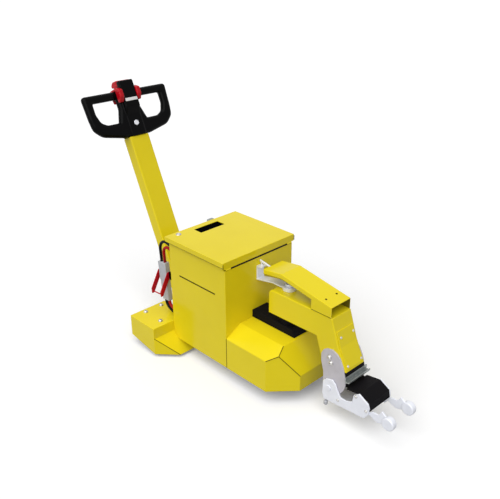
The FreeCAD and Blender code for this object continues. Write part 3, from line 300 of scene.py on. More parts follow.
def rounded(corners: Sequence[Point3], steps: int = 5) -> list[Point2]:
    """Round the corners of a closed outline.

    Args:
        corners: each corner's place and its radius, in millimetres.
        steps: straight pieces in each rounded corner.

    Returns:
        The outline in metres, with each corner replaced by a short arc.
    """
    out: list[Point2] = []
    spots = [Vector((u, v)) for u, v, _ in corners]
    for i, (here, (_, _, radius)) in enumerate(zip(spots, corners)):
        before = spots[i - 1] - here
        after = spots[(i + 1) % len(spots)] - here
        reach = radius / math.tan(before.angle(after) / 2.0)
        reach = min(reach, CORNER_ROOM * before.length, CORNER_ROOM * after.length)
        first = here + before.normalized() * reach
        last = here + after.normalized() * reach
        for step in range(steps + 1):
            t = step / steps
            spot = first * (1 - t) ** 2 + here * (2 * t * (1 - t)) + last * t**2
            out.append((spot.x * MM, spot.y * MM))
    return out


def oblong(half: float, low: float, high: float, radius: float) -> list[Point3]:
    """The corners of an oblong about the upright axis, all with one radius."""
    return [(-half, low, radius), (half, low, radius), (half, high, radius), (-half, high, radius)]


def mirrored(points: Iterable[Point3], sign: float) -> list[Point3]:
    """Points given for the left side, or with a sign of -1 their mirror images."""
    return [(x, sign * y, z) for x, y, z in points]


@contextmanager
def opened(mesh: Mesh) -> Iterator[BMesh]:
    """Open a mesh, with its doubled corners welded, and write the changes back.

    Args:
        mesh: the mesh to change.

    Returns:
        The open form, which is written back where the block ends.
    """
    form = bmesh.new()
    form.from_mesh(mesh)
    bmesh.ops.remove_doubles(form, verts=form.verts, dist=WELD)
    yield form
    form.to_mesh(mesh)
    form.free()


def applied(holder: Object) -> Mesh:
    """Apply a helper object's modifiers or curve settings and drop the helper.

    Args:
        holder: the helper, which no collection holds yet.

    Returns:
        The mesh that it comes to.
    """
    bpy.context.collection.objects.link(holder)
    bpy.context.view_layer.update()
    graph = bpy.context.evaluated_depsgraph_get()
    mesh = bpy.data.meshes.new_from_object(holder.evaluated_get(graph))
    bpy.data.objects.remove(holder)
    return mesh


def curve_mesh(curve: Curve, runs: Iterable[Sequence[Sequence[float]]], closed: bool) -> Mesh:
    """Lay runs of straight pieces in a curve and turn it into a mesh.

    Args:
        curve: the curve, whose section is set.
        runs: the points of each run, in metres.
        closed: whether each run goes back to its first point.

    Returns:
        The mesh; the curve is gone.
    """
    for run in runs:
        spline = curve.splines.new("POLY")
        spline.points.add(len(run) - 1)
        for point, spot in zip(spline.points, run):
            point.co = (*spot, 1.0)
        spline.use_cyclic_u = closed
    mesh = applied(bpy.data.objects.new("helper", curve))
    bpy.data.curves.remove(curve)
    return mesh


def plate_mesh(
    outlines: Sequence[Sequence[Point2]],
    low: float,
    high: float,
    edge: float,
    placing: Matrix,
    turns: int = 3,
) -> Mesh:
    """A plate with rounded edges, cut to an outline and its holes.

    Args:
        outlines: the outer outline and any holes in metres, in the plate's own plane.
        low: one face's distance from that plane in millimetres.
        high: the other face's distance in millimetres.
        edge: radius in millimetres of the rounding along every edge.
        placing: where the plate's own frame stands.
        turns: segments of the rounding.

    Returns:
        The finished mesh.
    """
    curve = bpy.data.curves.new("plate", "CURVE")
    curve.dimensions = "2D"
    curve.fill_mode = "BOTH"
    curve.extrude = ((high - low) / 2.0 - edge) * MM
    curve.bevel_depth = edge * MM
    curve.bevel_resolution = turns
    curve.offset = -edge * MM
    mesh = curve_mesh(curve, [[(u, v, 0.0) for u, v in outline] for outline in outlines], True)
    middle = (low + high) / 2.0 * MM
    mesh.transform(placing @ Matrix.Translation((0.0, 0.0, middle)))
    with opened(mesh) as form:
        bmesh.ops.recalc_face_normals(form, faces=form.faces)
    return mesh


def wire_mesh(path: Sequence[Vector], radius: float, sides: int) -> Mesh:
    """A round bar along a path of points.

    Args:
        path: the bar's centre line in metres.
        radius: the bar's radius in millimetres.
        sides: sides of its section.

    Returns:
        The bar's mesh.
    """
    curve = bpy.data.curves.new("wire", "CURVE")
    curve.dimensions = "3D"
    curve.bevel_depth = radius * MM
    curve.bevel_resolution = sides // 4
    curve.use_fill_caps = True
    return curve_mesh(curve, [path], False)


def lathe_mesh(profile: Sequence[Point2], placing: Matrix, steps: int) -> Mesh:
    """A turned piece.

    Args:
        profile: radius and height pairs in millimetres. A profile that starts and ends off
            the axis is closed to a ring.
        placing: where the piece's own frame stands; it turns about that frame's Z.
        steps: sides of the turned form.

    Returns:
        The finished mesh.
    """
    mesh = bpy.data.meshes.new("turned")
    with opened(mesh) as form:
        rings: list[list[BMVert]] = []
        for radius, height in profile:
            sides = steps if radius > 0.0 else 1
            turns = [2 * math.pi * i / sides for i in range(sides)]
            spots = [Vector((radius * math.cos(a), radius * math.sin(a), height)) for a in turns]
            rings.append([form.verts.new(spot * MM) for spot in spots])
        pairs = list(zip(rings, rings[1:]))
        if len(rings[0]) > 1 and len(rings[-1]) > 1:
            pairs.append((rings[-1], rings[0]))
        for lower, upper in pairs:
            for i in range(steps):
                a, b = i % len(lower), i % len(upper)
                c, d = (i + 1) % len(upper), (i + 1) % len(lower)
                corners = (lower[a], upper[b], upper[c], lower[d])
                form.faces.new(tuple(dict.fromkeys(corners)))
        bmesh.ops.recalc_face_normals(form, faces=form.faces)
    mesh.transform(placing)
    return mesh


def standing(origin: Vector, across: Vector, up: Vector) -> Matrix:
    """The placing of a plane frame.

    Args:
        origin: where the frame's own origin stands.
        across: unit vector along its first axis.
        up: unit vector along its second axis.

    Returns:
        The matrix whose third axis is across x up.
    """
    turn = Matrix((across, up, across.cross(up))).transposed().to_4x4()
    return Matrix.Translation(origin) @ turn


def pointing(origin: Vector, normal: Vector) -> Matrix:
    """The placing of a turned piece that stands on a surface.

    Args:
        origin: a point of the surface.
        normal: the way out of the surface.

    Returns:
        The matrix that turns Z to the normal.
    """
    return Matrix.Translation(origin) @ normal.to_track_quat("Z", "Y").to_matrix().to_4x4()


def joined(meshes: Iterable[Mesh]) -> Mesh:
    """Put several meshes into one.

    Args:
        meshes: the meshes to put together, which are used up.

    Returns:
        One mesh that holds them all.
    """
    whole = bpy.data.meshes.new("joined")
    with opened(whole) as form:
        for mesh in meshes:
            form.from_mesh(mesh)
            bpy.data.meshes.remove(mesh)
    return whole


def screw_mesh(place: Matrix, radius: float, height: float, drive: Drive) -> Mesh:
    """A domed screw head on its washer.

    Args:
        place: the placing on the surface, Z pointing out of it.
        radius: the head's radius in millimetres.
        height: the head's height above the surface in millimetres.
        drive: the recess in the head.

    Returns:
        The head's mesh.
    """
    dome = [(radius * share, height * rise) for share, rise in SCREW_DOME]
    if drive is Drive.PLAIN:
        return lathe_mesh([*dome, (0.0, height * PLAIN_CROWN)], place, 28)
    mesh = lathe_mesh(dome, Matrix.Identity(4), 24)
    top = height * MM
    flat = SOCKET_WIDTH * radius * MM * math.cos(math.pi / 6)
    with opened(mesh) as form:
        # The lathe makes each ring in order, from the X axis round.
        rim = [vert for vert in form.verts if abs(vert.co.z - top) < LEVEL]
        count = len(rim)
        mouth: list[BMVert] = []
        floor: list[BMVert] = []
        for i in range(count):
            turn = 2 * math.pi * i / count
            reach = flat / math.cos((turn % (math.pi / 3)) - math.pi / 6)
            x, y = reach * math.cos(turn), reach * math.sin(turn)
            mouth.append(form.verts.new((x, y, top)))
            floor.append(form.verts.new((x, y, top * SOCKET_FLOOR)))
        for i in range(count):
            j = (i + 1) % count
            form.faces.new((rim[i], rim[j], mouth[j], mouth[i]))
            form.faces.new((mouth[i], mouth[j], floor[j], floor[i]))
        form.faces.new(floor)
        bmesh.ops.recalc_face_normals(form, faces=form.faces)
    mesh.transform(place)
    return mesh


def moulded_mesh(meshes: Iterable[Mesh], voxel: float, passes: int) -> Mesh:
    """Blend closed meshes into one moulded form with soft edges.

    Args:
        meshes: closed meshes that may run into one another, which are used up.
        voxel: the size in millimetres of the cells that the form is rebuilt from.
        passes: how often the surface is relaxed.

    Returns:
        The blended mesh.
    """
    rough = joined(meshes)
    holder = bpy.data.objects.new("moulding", rough)
    rebuild = holder.modifiers.new("rebuild", "REMESH")
    rebuild.mode = "VOXEL"
    rebuild.voxel_size = voxel * MM
    relax = holder.modifiers.new("relax", "SMOOTH")
    relax.factor = 0.5
    relax.iterations = passes
    mesh = applied(holder)
    bpy.data.meshes.remove(rough)
    return mesh


class Fitter:
    """Puts finished meshes on the machine and dresses the frame's own nodes.

    Attributes:
        FLAT: the bend below which two faces are one flat face.
        BEND: the least bend between two faces that is rounded.
        CURVE: the most that two edges in line may turn where they meet.
        HOLE_RIM: the length of rim below which a hole's edge stays sharp.
        HOLE_SIDES: the least number of sides that such a hole has.
    """

    FLAT = math.radians(0.6)
    BEND = math.radians(24.0)
    CURVE = math.radians(32.0)
    HOLE_RIM = 40.0 * MM
    HOLE_SIDES = 7

    def __init__(self) -> None:
        """Find the box's front face, from which lengths are measured."""
        self.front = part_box("battery_box")[1][0]
        self.bodies: dict[str, str] = {
            node: body
            for body, nodes in frame["record"]["behaviour"]["bodies"].items()
            for node in nodes
        }
        self.count = 0

    def at(self, x: float, y: float, z: float) -> Vector:
        """A point given in millimetres from the box's front face, centre line and ground."""
        return Vector((self.front + x * MM, y * MM, z * MM))

    def add(
        self,
        name: str,
        mesh: Mesh,
        body: str,
        finish: Finish,
        stands_for: Sequence[str] = (),
        smooth: float = 35.0,
    ) -> Object:
        """Add a new piece.

        Args:
            name: the piece's name.
            mesh: its mesh.
            body: the body it moves with.
            finish: its finish.
            stands_for: the frame's nodes that it is shown instead of.
            smooth: angle in degrees above which an edge stays sharp.

        Returns:
            The new object.
        """
        mesh.name = name
        piece = bpy.data.objects.new(name, mesh)
        bpy.context.collection.objects.link(piece)
        mesh.materials.clear()
        mesh.materials.append(finish.material())
        mesh.shade_smooth()
        mesh.set_sharp_from_angle(angle=math.radians(smooth))
        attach(piece, body)
        if stands_for:
            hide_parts(*stands_for)
        self.count += 1
        log.info("%s: %d faces on %s", name, len(mesh.polygons), body)
        return piece

    def dress(self, finish: Finish, *nodes: str) -> None:
        """Give nodes of the frame a finish.

        Args:
            finish: the finish.
            nodes: the nodes that keep their own shape.
        """
        for node in nodes:
            piece = frame["nodes"][node]
            for slot in piece.material_slots:
                slot.material = finish.material()
            log.info("%s: dressed in %s", node, finish.name)

    def soften(self, node: str, finish: Finish, edge: float, turns: int = 2) -> None:
        """Show a node with its edges rounded.

        Args:
            node: the frame's node.
            finish: its finish.
            edge: radius of the rounding in millimetres.
            turns: segments of the rounding.
        """
        mesh = frame["nodes"][node].data.copy()
        with opened(mesh) as form:
            bmesh.ops.dissolve_limit(
                form, angle_limit=self.FLAT, verts=form.verts, edges=form.edges
            )
            self.weigh(form, edge * MM)
        piece = self.add(f"{node}_shell", mesh, self.bodies[node], finish, (node,), 40.0)
        bevel = piece.modifiers.new("edges", "BEVEL")
        bevel.width = edge * MM
        bevel.segments = turns
        bevel.limit_method = "WEIGHT"
        bevel.use_clamp_overlap = False
        weight = piece.modifiers.new("normals", "WEIGHTED_NORMAL")
        weight.keep_sharp = True

    def line(self, node: str, finish: Finish, coat: float) -> None:
        """Coat the inner faces of a folded cover in a darker colour: painted shade for its
        shadowed inside.

        Args:
            node: the cover's node in the frame.
            finish: the darker finish of its inside, painted shade.
            coat: thickness of the coat in millimetres.
        """
        mesh = frame["nodes"][node].data.copy()
        with opened(mesh) as form:
            form.normal_update()
            outer = [face for face in form.faces if not self.looks_in(face)]
            bmesh.ops.delete(form, geom=outer, context="FACES")
        piece = self.add(f"{node}_inside", mesh, self.bodies[node], finish, (), 40.0)
        sheet = piece.modifiers.new("coat", "SOLIDIFY")
        sheet.thickness = coat * MM
        sheet.offset = 1.0

    @staticmethod
    def looks_in(face: BMFace) -> bool:
        """Tell the inner faces of a cover from its outer ones.

        Args:
            face: a face of the cover.

        Returns:
            Whether the face looks down, or across to the cover's other side.
        """
        down, across = -0.25, -0.5
        side = face.calc_center_median().y
        return face.normal.z <= down or face.normal.y * side <= across * abs(side)

    def weigh(self, form: BMesh, width: float) -> None:
        """Mark the edges that have room for rounding.

        Short edges that follow one another round a curve count as one long edge.

        Args:
            form: the mesh to mark.
            width: the rounding's radius in metres.
        """
        layer = form.edges.layers.float.new("bevel_weight_edge")
        sharp = {
            edge
            for edge in form.edges
            if len(edge.link_faces) == 2 and edge.calc_face_angle(0.0) > self.BEND
        }
        groups: dict[BMEdge, set[BMEdge]] = {edge: {edge} for edge in sharp}
        for vert in form.verts:
            meeting = [edge for edge in vert.link_edges if edge in sharp]
            for i, one in enumerate(meeting):
                for other in meeting[i + 1 :]:
                    leaving = other.other_vert(vert).co - vert.co
                    coming = vert.co - one.other_vert(vert).co
                    if groups[one] is groups[other] or coming.angle(leaving) > self.CURVE:
                        continue
                    merged = groups[one] | groups[other]
                    for member in merged:
                        groups[member] = merged
        for edge in sharp:
            count = len(groups[edge])
            run = sum(member.calc_length() for member in groups[edge])
            area = min(face.calc_area() for face in edge.link_faces)
            long = run > 3.0 * width
            roomy = count > 1 or area > 2.1 * width * edge.calc_length()
            small_hole = count >= self.HOLE_SIDES and run < self.HOLE_RIM
            if long and roomy and not small_hole:
                edge[layer] = 1.0

    def mould(self, node: str, finish: Finish, voxel: float, passes: int, full: float) -> None:
        """Show a node as a moulding with soft edges.

        Args:
            node: the frame's node.
            finish: its finish.
            voxel: the size of the rebuilt cells in millimetres.
            passes: how often the surface is relaxed.
            full: how far the surface is then moved out, in millimetres.
        """
        mesh = moulded_mesh([frame["nodes"][node].data.copy()], voxel, passes)
        self.swell(mesh, full)
        self.add(f"{node}_form", mesh, self.bodies[node], finish, (node,), 60.0)

    @staticmethod
    def swell(mesh: Mesh, by: float) -> None:
        """Move a closed mesh's surface outwards.

        Args:
            mesh: the mesh, which is changed in place.
            by: how far, in millimetres.
        """
        with opened(mesh) as form:
            form.normal_update()
            for vert in form.verts:
                vert.co += vert.normal * by * MM

    def seam(
        self, name: str, path: Sequence[Point3], radius: float, body: str,
        finish: Finish = SEAM_SHADE,
    ) -> None:
        """Lay a thin dark bead along a joint between panels: painted shade where the joint's
        shadow falls.

        Args:
            name: the piece's name.
            path: the joint's points in millimetres from the box's front face.
            radius: the bead's radius in millimetres.
            body: the body that it moves with.
            finish: its finish.
        """
        mesh = wire_mesh([self.at(*point) for point in path], radius, 8)
        self.add(name, mesh, body, finish)

    def screws(
        self,
        name: str,
        spots: Sequence[Point3],
        normal: Vector,
        radius: float,
        height: float,
        body: str,
        finish: Finish = BOLT_ZINC,
        drive: Drive = Drive.HEX_SOCKET,
    ) -> None:
        """Set a row of screw heads on a surface.

        Args:
            name: the piece's name.
            spots: where the heads stand, in millimetres from the box's front face.
            normal: the way out of the surface.
            radius: the heads' radius in millimetres.
            height: the heads' height in millimetres.
            body: the body they move with.
            finish: their finish.
            drive: the recess in each head.
        """
        places = [pointing(self.at(*spot), normal) for spot in spots]
        heads = [screw_mesh(place, radius, height, drive) for place in places]
        self.add(name, joined(heads), body, finish)


# ---------------------------------------------------------------- the machine's assemblies
# Sizes are in millimetres. Places are measured from the box's front face, the centre line
# and the ground, and those that both sides share are given for the left side.


@dataclass
class BatteryBody:
    """The folded box, its lid with window, lock and pull, and the battery inside."""

    fitter: Fitter
    lid_top: float = 512.0
    skirt: float = 20.0
    # Radii of the painted shade beads under the lid's edges, in its corner slits and along the
    # vent slot.
    shadow_line_radius: float = 1.3
    slit_radius: float = 1.0
    vent_shade_radius: float = 3.2
    vent_slot: tuple[Point3, Point3] = ((-58.0, 178.4, 361.0), (-269.0, 178.4, 361.0))
    lock_outline: tuple[Point2, ...] = (
        (0.0, -20.0), (6.5, -20.0), (6.5, 0.0), (11.0, 0.0), (11.0, 1.6),
        (9.6, 3.4), (7.4, 4.0), (6.9, 3.2), (0.0, 3.2),
    )

    def build(self) -> None:
        """Dress the box and the lid and add their small fittings."""
        fit = self.fitter
        fit.soften("battery_box", YELLOW_PAINT, 2.0, 3)
        fit.soften("lid", YELLOW_PAINT, 0.8)
        fit.soften("lid_pull", DARK_ZINC, 1.5, 3)
        fit.dress(BLACK_PAINT, "battery_pack")
        fit.dress(SCREEN_GLASS, "display_window")
        # Black paint on the hinge, partly painted shade for the dark gap under the lid's front
        # skirt.
        fit.dress(BLACK_PAINT, "lid_hinge")
        self.lock()
        self.paint_edge_shadows()

    def paint_edge_shadows(self) -> None:
        """Painted shade: dark beads under the lid's edges, in its corner slits and along the vent
        slot, where shadow falls.
        """
        fit = self.fitter
        low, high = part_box("lid")
        rear = (low[0] - fit.front) / MM
        front = (high[0] - fit.front) / MM
        side = high[1] / MM
        edge = self.lid_top - self.skirt
        inset = side - self.shadow_line_radius
        under = [(rear + 2.0, inset, edge), (front - 1.0, inset, edge)]
        corner = (front - 0.4, side - 0.4)
        slit = [(*corner, edge - 4.0), (*corner, self.lid_top - 5.0)]
        for tag, sign in SIDES:
            for name, path, radius, body in (
                ("lid_shadow_line", under, self.shadow_line_radius, "lid"),
                ("lid_corner", slit, self.slit_radius, "lid"),
                ("vent_slot_shade", self.vent_slot, self.vent_shade_radius, "chassis"),
            ):
                fit.seam(f"{name}_{tag}", mirrored(path, sign), radius, body, PAINTED_EDGE_SHADE)

    def lock(self) -> None:
        """The round lock near the lid's rear corner."""
        low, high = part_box("lid_lock")
        spot = Vector(((low[0] + high[0]) / 2, (low[1] + high[1]) / 2, self.lid_top * MM))
        mesh = lathe_mesh(self.lock_outline, Matrix.Translation(spot), 40)
        self.fitter.add("lid_lock_face", mesh, "lid", BOLT_ZINC, ("lid_lock",))


@dataclass
class DriveEnd:
    """The faceted cover, the drive unit below it and the two driven wheels."""

    fitter: Fitter
    # Dark beads of painted shade along the cover's joints: name, radius and path.
    folds: tuple[tuple[str, float, tuple[Point3, ...]], ...] = (
        (
            "cover_seam_high", 1.4,
            ((210.0, 180.0, 190.0), (242.0, 144.7, 209.9), (229.0, 107.0, 231.0)),
        ),
        ("cover_seam_low", 1.4, ((242.0, 144.7, 209.9), (296.0, 85.0, 122.0))),
        ("cover_edge", 1.1, ((0.0, 180.0, 58.0), (0.0, 180.0, 190.0))),
    )
    tyre_depth: float = 28.0
    wall: float = 9.0
    shoulder: float = 3.0
    margin: float = 5.0
    ribs: int = 5
    groove: tuple[Point2, ...] = ((0.0, -1.6), (-2.6, -1.2), (-2.6, 0.4), (0.0, 1.0))

    def build(self) -> None:
        """Dress the cover and what it covers."""
        fit = self.fitter
        fit.soften("drive_cover", YELLOW_PAINT, 2.0, 3)
        fit.soften("pivot_block", BLACK_PAINT, 1.5)
        fit.dress(BLACK_PAINT, "drive_mount")
        fit.soften("drive_unit", BLACK_PAINT, 6.0, 3)
        fit.dress(ZINC_PLATE, "drive_axle")
        # Black paint on the post, partly painted shade for the dark gap under the gooseneck.
        fit.dress(BLACK_PAINT, "swing_post")
        self.seams()
        for side, _ in SIDES:
            self.tyre(side)
            fit.soften(f"drive_rim_{side}", PALE_STEEL, 0.8)

    def seams(self) -> None:
        """Painted shade: dark beads along the joints between the cover's facets."""
        for tag, sign in SIDES:
            for name, radius, path in self.folds:
                self.fitter.seam(f"{name}_{tag}", mirrored(path, sign), radius, "chassis")

    def tyre(self, side: str) -> None:
        """A solid tyre with a ribbed tread and sloping shoulders.

        Args:
            side: right or left.
        """
        node = f"drive_tyre_{side}"
        low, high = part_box(node)
        middle = Vector([(a + b) / 2 for a, b in zip(low, high)])
        outer = (high[2] - low[2]) / 2 / MM
        half = (high[1] - low[1]) / 2 / MM
        inner = outer - self.tyre_depth
        tread = half - self.margin
        wall, shoulder = outer - self.wall, outer - self.shoulder
        profile: list[Point2] = [(inner, -half), (wall, -half), (shoulder, self.shoulder - half)]
        profile.append((outer, self.groove[-1][1] - tread))
        for i in range(1, self.ribs):
            line = 2 * tread * i / self.ribs - tread
            profile += [(outer + rise, line + shift) for rise, shift in self.groove]
        profile.append((outer, self.groove[0][1] + tread))
        profile += [(shoulder, half - self.shoulder), (wall, half), (inner, half)]
        mesh = lathe_mesh(profile, pointing(middle, LEFT), 72)
        name = f"drive_tread_{side}"
        self.fitter.add(name, mesh, f"drive_wheel_{side}", BLACK_RUBBER, (node,))


@dataclass
class CastorEnd:
    """The rear guards, the plate between them and the swivelling castors."""

    fitter: Fitter
    bolt_middle: Point3 = (-409.5, 182.0, 133.0)
    bolt_x: float = 51.0
    bolt_y: float = 41.0
    ramp: tuple[Point3, Point3] = ((-325.0, 283.6, 86.3), (-248.0, 213.4, 14.3))

    def build(self) -> None:
        """Dress the guards and castors and set the plate bolts."""
        fit = self.fitter
        fit.soften("rear_plate", YELLOW_PAINT, 1.0)
        fit.dress(ZINC_PLATE, "castor_plates")
        x, y, z = self.bolt_middle
        for side, sign in SIDES:
            fit.soften(f"castor_guard_{side}", YELLOW_PAINT, 1.5, 3)
            spots = [
                (x + dx, sign * y + dy, z)
                for dx in (-self.bolt_x, self.bolt_x)
                for dy in (-self.bolt_y, self.bolt_y)
            ]
            fit.screws(f"guard_bolts_{side}", spots, UP, 8.0, 7.0, "chassis")
            # Painted shade: a dark bead along the ramp's edge.
            fit.seam(f"ramp_seam_{side}", mirrored(self.ramp, sign), 1.3, "chassis")
            fit.soften(f"castor_fork_{side}", ZINC_PLATE, 0.8)
            fit.dress(ZINC_PLATE, f"castor_axle_{side}")
            fit.soften(f"castor_wheel_{side}", CASTOR_RUBBER, 1.0)


@dataclass
class Gooseneck:
    """The swinging arm with its hood, the bracket above and the coupling plates."""

    fitter: Fitter
    cheek_bolts: tuple[Point3, ...] = ((402.5, 57.0, 245.5), (411.0, 57.0, 224.5))
    hood_seam: tuple[Point3, Point3] = ((306.0, 52.2, 397.0), (395.0, 52.2, 397.0))
    hood_start: Point2 = (160.0, 479.0)
    hood_fall: Point2 = (236.0, 42.0)
    plug: Point2 = (352.0, 28.5)
    plate_screws: tuple[tuple[str, Point3, tuple[Point3, ...]], ...] = (
        ("high", (104.0, 0.0, 35.0), ((427.4, -29.5, 323.5), (427.4, 38.0, 323.5))),
        ("low", (83.0, 0.0, 40.0), ((469.0, -35.0, 227.7), (469.0, 40.0, 227.7))),
    )

    def build(self) -> None:
        """Dress the arm and its fittings."""
        fit = self.fitter
        fit.soften("gooseneck", YELLOW_PAINT, 3.0, 3)
        fit.soften("hood", YELLOW_PAINT, 1.8, 3)
        # The hood's inside is coated darker: painted shade.
        fit.line("hood", PAINTED_HOOD_SHADE, 0.25)
        fit.soften("front_plate", YELLOW_PAINT, 1.0)
        fit.soften("end_block", BLACK_PAINT, 1.0)
        fit.soften("end_channel", DARK_ZINC, 0.6)
        fit.soften("cheek_plates", PLATE_STEEL, 1.0)
        fit.soften("fork_pins", PALE_STEEL, 1.0)
        fit.soften("upper_bracket", ZINC_PLATE, 1.2)
        fit.soften("pivot_bolt", ZINC_PLATE, 1.5)
        fit.soften("lock_pin", ZINC_PLATE, 2.5, 4)
        for side, sign in SIDES:
            bolts = mirrored(self.cheek_bolts, sign)
            fit.screws(f"cheek_bolts_{side}", bolts, sign * LEFT, 8.0, 6.5, "gooseneck")
            # Painted shade: a dark bead under the hood's side edge.
            fit.seam(f"hood_seam_{side}", mirrored(self.hood_seam, sign), 1.1, "gooseneck")
            self.hood_plug(side, sign)
        for name, slope, spots in self.plate_screws:
            normal = Vector(slope).normalized()
            fit.screws(f"front_plate_screws_{name}", spots, normal, 4.2, 2.6, "gooseneck")

    def hood_plug(self, side: str, sign: float) -> None:
        """A dark plug in one of the two holes in the hood's sloping top, coloured as painted shade
        in the hole.

        Args:
            side: right or left.
            sign: -1 on the right and 1 on the left.
        """
        run, fall = self.hood_fall
        x, y = self.plug
        level = self.hood_start[1] - fall / run * (x - self.hood_start[0])
        normal = Vector((fall, 0.0, run)).normalized()
        self.fitter.screws(
            f"hood_plug_{side}", [(x, sign * y, level)], normal, 3.4, 1.6, "gooseneck",
            PAINTED_HOLE_SHADE, Drive.PLAIN,
        )


@dataclass
class Fork:
    """The lifting fork with its cradle, prongs and pads."""

    fitter: Fitter
    outer: float = 64.0
    bolts: tuple[Point2, ...] = ((456.0, 92.0), (531.5, 148.0), (577.0, 112.0))

    def build(self) -> None:
        """Dress the fork and set its bolts."""
        fit = self.fitter
        fit.soften("fork_arms", PALE_STEEL, 1.2)
        fit.soften("fork_prongs", PALE_STEEL, 1.5)
        fit.soften("fork_pads", PALE_STEEL, 4.0, 4)
        fit.dress(GREY_HOUSING, "fork_buffers")
        fit.soften("cradle", BLACK_PAINT, 1.2)
        fit.dress(ZINC_PLATE, "fork_tie")
        for side, sign in SIDES:
            spots = [(x, sign * self.outer, z) for x, z in self.bolts]
            fit.screws(f"fork_bolts_{side}", spots, sign * LEFT, 5.0, 4.0, "fork")


@dataclass
class Tiller:
    """The leaning arm on its ears, and the moulded head with its controls."""

    fitter: Fitter
    lean: float = 24.05
    length: float = 743.5
    pivot: Point2 = (-455.0, 115.0)
    half_ring: tuple[Point3, ...] = (
        (66.0, 0.3, 8.0), (166.0, 22.0, 60.0), (201.0, 55.0, 44.0), (207.0, 100.0, 80.0),
        (212.0, 198.5, 16.0),
    )
    loop: tuple[Point3, ...] = (
        (71.0, 67.0, 8.0), (128.0, 67.5, 30.0), (156.0, 82.0, 30.0), (169.0, 118.0, 40.0),
        (169.0, 163.5, 7.0), (53.0, 163.5, 7.0), (53.0, 122.0, 20.0),
    )
    tower: tuple[Point3, ...] = (
        (-27.0, 0.3, 2.0), (34.0, 0.3, 2.0), (35.0, 40.0, 10.0), (35.0, 92.0, 14.0),
        (53.0, 121.0, 14.0), (53.0, 235.0, 9.0), (27.0, 235.0, 3.0), (27.0, 214.0, 3.0),
        (-3.0, 208.0, 6.0), (-3.0, 67.0, 6.0), (-27.0, 30.0, 6.0),
    )
    tower_side: float = 35.0
    grip_rear: float = -3.0
    grip_front: float = 31.0
    grip_edge: float = 16.4
    plate_low: float = 145.0
    plate_high: float = 158.0
    switch_at: Point2 = (53.0, 35.0)
    switch: tuple[Point2, ...] = (
        (0.0, -3.0), (11.0, -3.0), (11.0, 1.2), (10.0, 2.4), (8.4, 2.8), (7.8, 2.0),
        (2.2, 2.2), (0.0, 2.2),
    )

    def head_frame(self) -> tuple[Vector, Vector, Vector]:
        """Find where the head stands on the leaning arm.

        Returns:
            The head's origin, its upward direction and its forward direction.
        """
        lean = math.radians(self.lean)
        up = Vector((-math.sin(lean), 0.0, math.cos(lean)))
        x, z = self.pivot
        origin = self.fitter.at(x, 0.0, z) + up * self.length * MM
        ahead = Vector((math.cos(lean), 0.0, math.sin(lean)))
        return origin, up, ahead

    def build(self) -> None:
        """Dress the arm and make the head."""
        fit = self.fitter
        fit.soften("tiller_arm", YELLOW_PAINT, 3.5, 3)
        fit.soften("tiller_ears", YELLOW_PAINT, 1.0)
        fit.dress(ZINC_PLATE, "tiller_pin")
        self.head()
        self.face()
        fit.mould("throttle_paddles", RED_GLOSS, 1.3, 34, 2.2)
        fit.mould("safety_button", RED_GLOSS, 1.5, 20, 0.6)

    def head(self) -> None:
        """The moulded ring of two hand loops, with the tower in its middle."""
        origin, up, ahead = self.head_frame()
        right = [(-y, t, radius) for y, t, radius in self.half_ring[::-1]]
        outlines = [rounded([*self.half_ring, *right], 8)]
        for sign in (1.0, -1.0):
            outlines.append(rounded([(sign * y, t, radius) for y, t, radius in self.loop], 8))
        flat = standing(origin, LEFT, up)
        tube = plate_mesh(outlines, self.grip_rear, self.grip_front, self.grip_edge, flat, 8)
        side = self.tower_side
        post = plate_mesh([rounded(self.tower, 6)], -side, side, 4.0, standing(origin, ahead, up))
        foot = rounded(oblong(48.0, -27.0, 27.0, 4.0))
        collar = plate_mesh([foot], -16.0, -0.3, 2.0, standing(origin, LEFT, ahead))
        mesh = moulded_mesh([tube, post, collar], 2.4, 5)
        node = "tiller_head"
        self.fitter.add(f"{node}_form", mesh, "tiller", MOULDED_BLACK, (node,), 70.0)

    def face(self) -> None:
        """The blank plate and the round key switch on the tower's front."""
        fit = self.fitter
        origin, up, ahead = self.head_frame()
        plate = rounded(oblong(30.0, self.plate_low, self.plate_high, 2.5))
        mesh = plate_mesh([plate], 52.4, 53.9, 0.4, standing(origin, LEFT, up))
        fit.add("blank_plate", mesh, "tiller", WHITE_PLATE)
        rise, reach = self.switch_at
        spot = origin + (up * rise + ahead * reach) * MM
        mesh = lathe_mesh(self.switch, pointing(spot, ahead), 36)
        fit.add("head_switch", mesh, "tiller", SWITCH_STEEL)


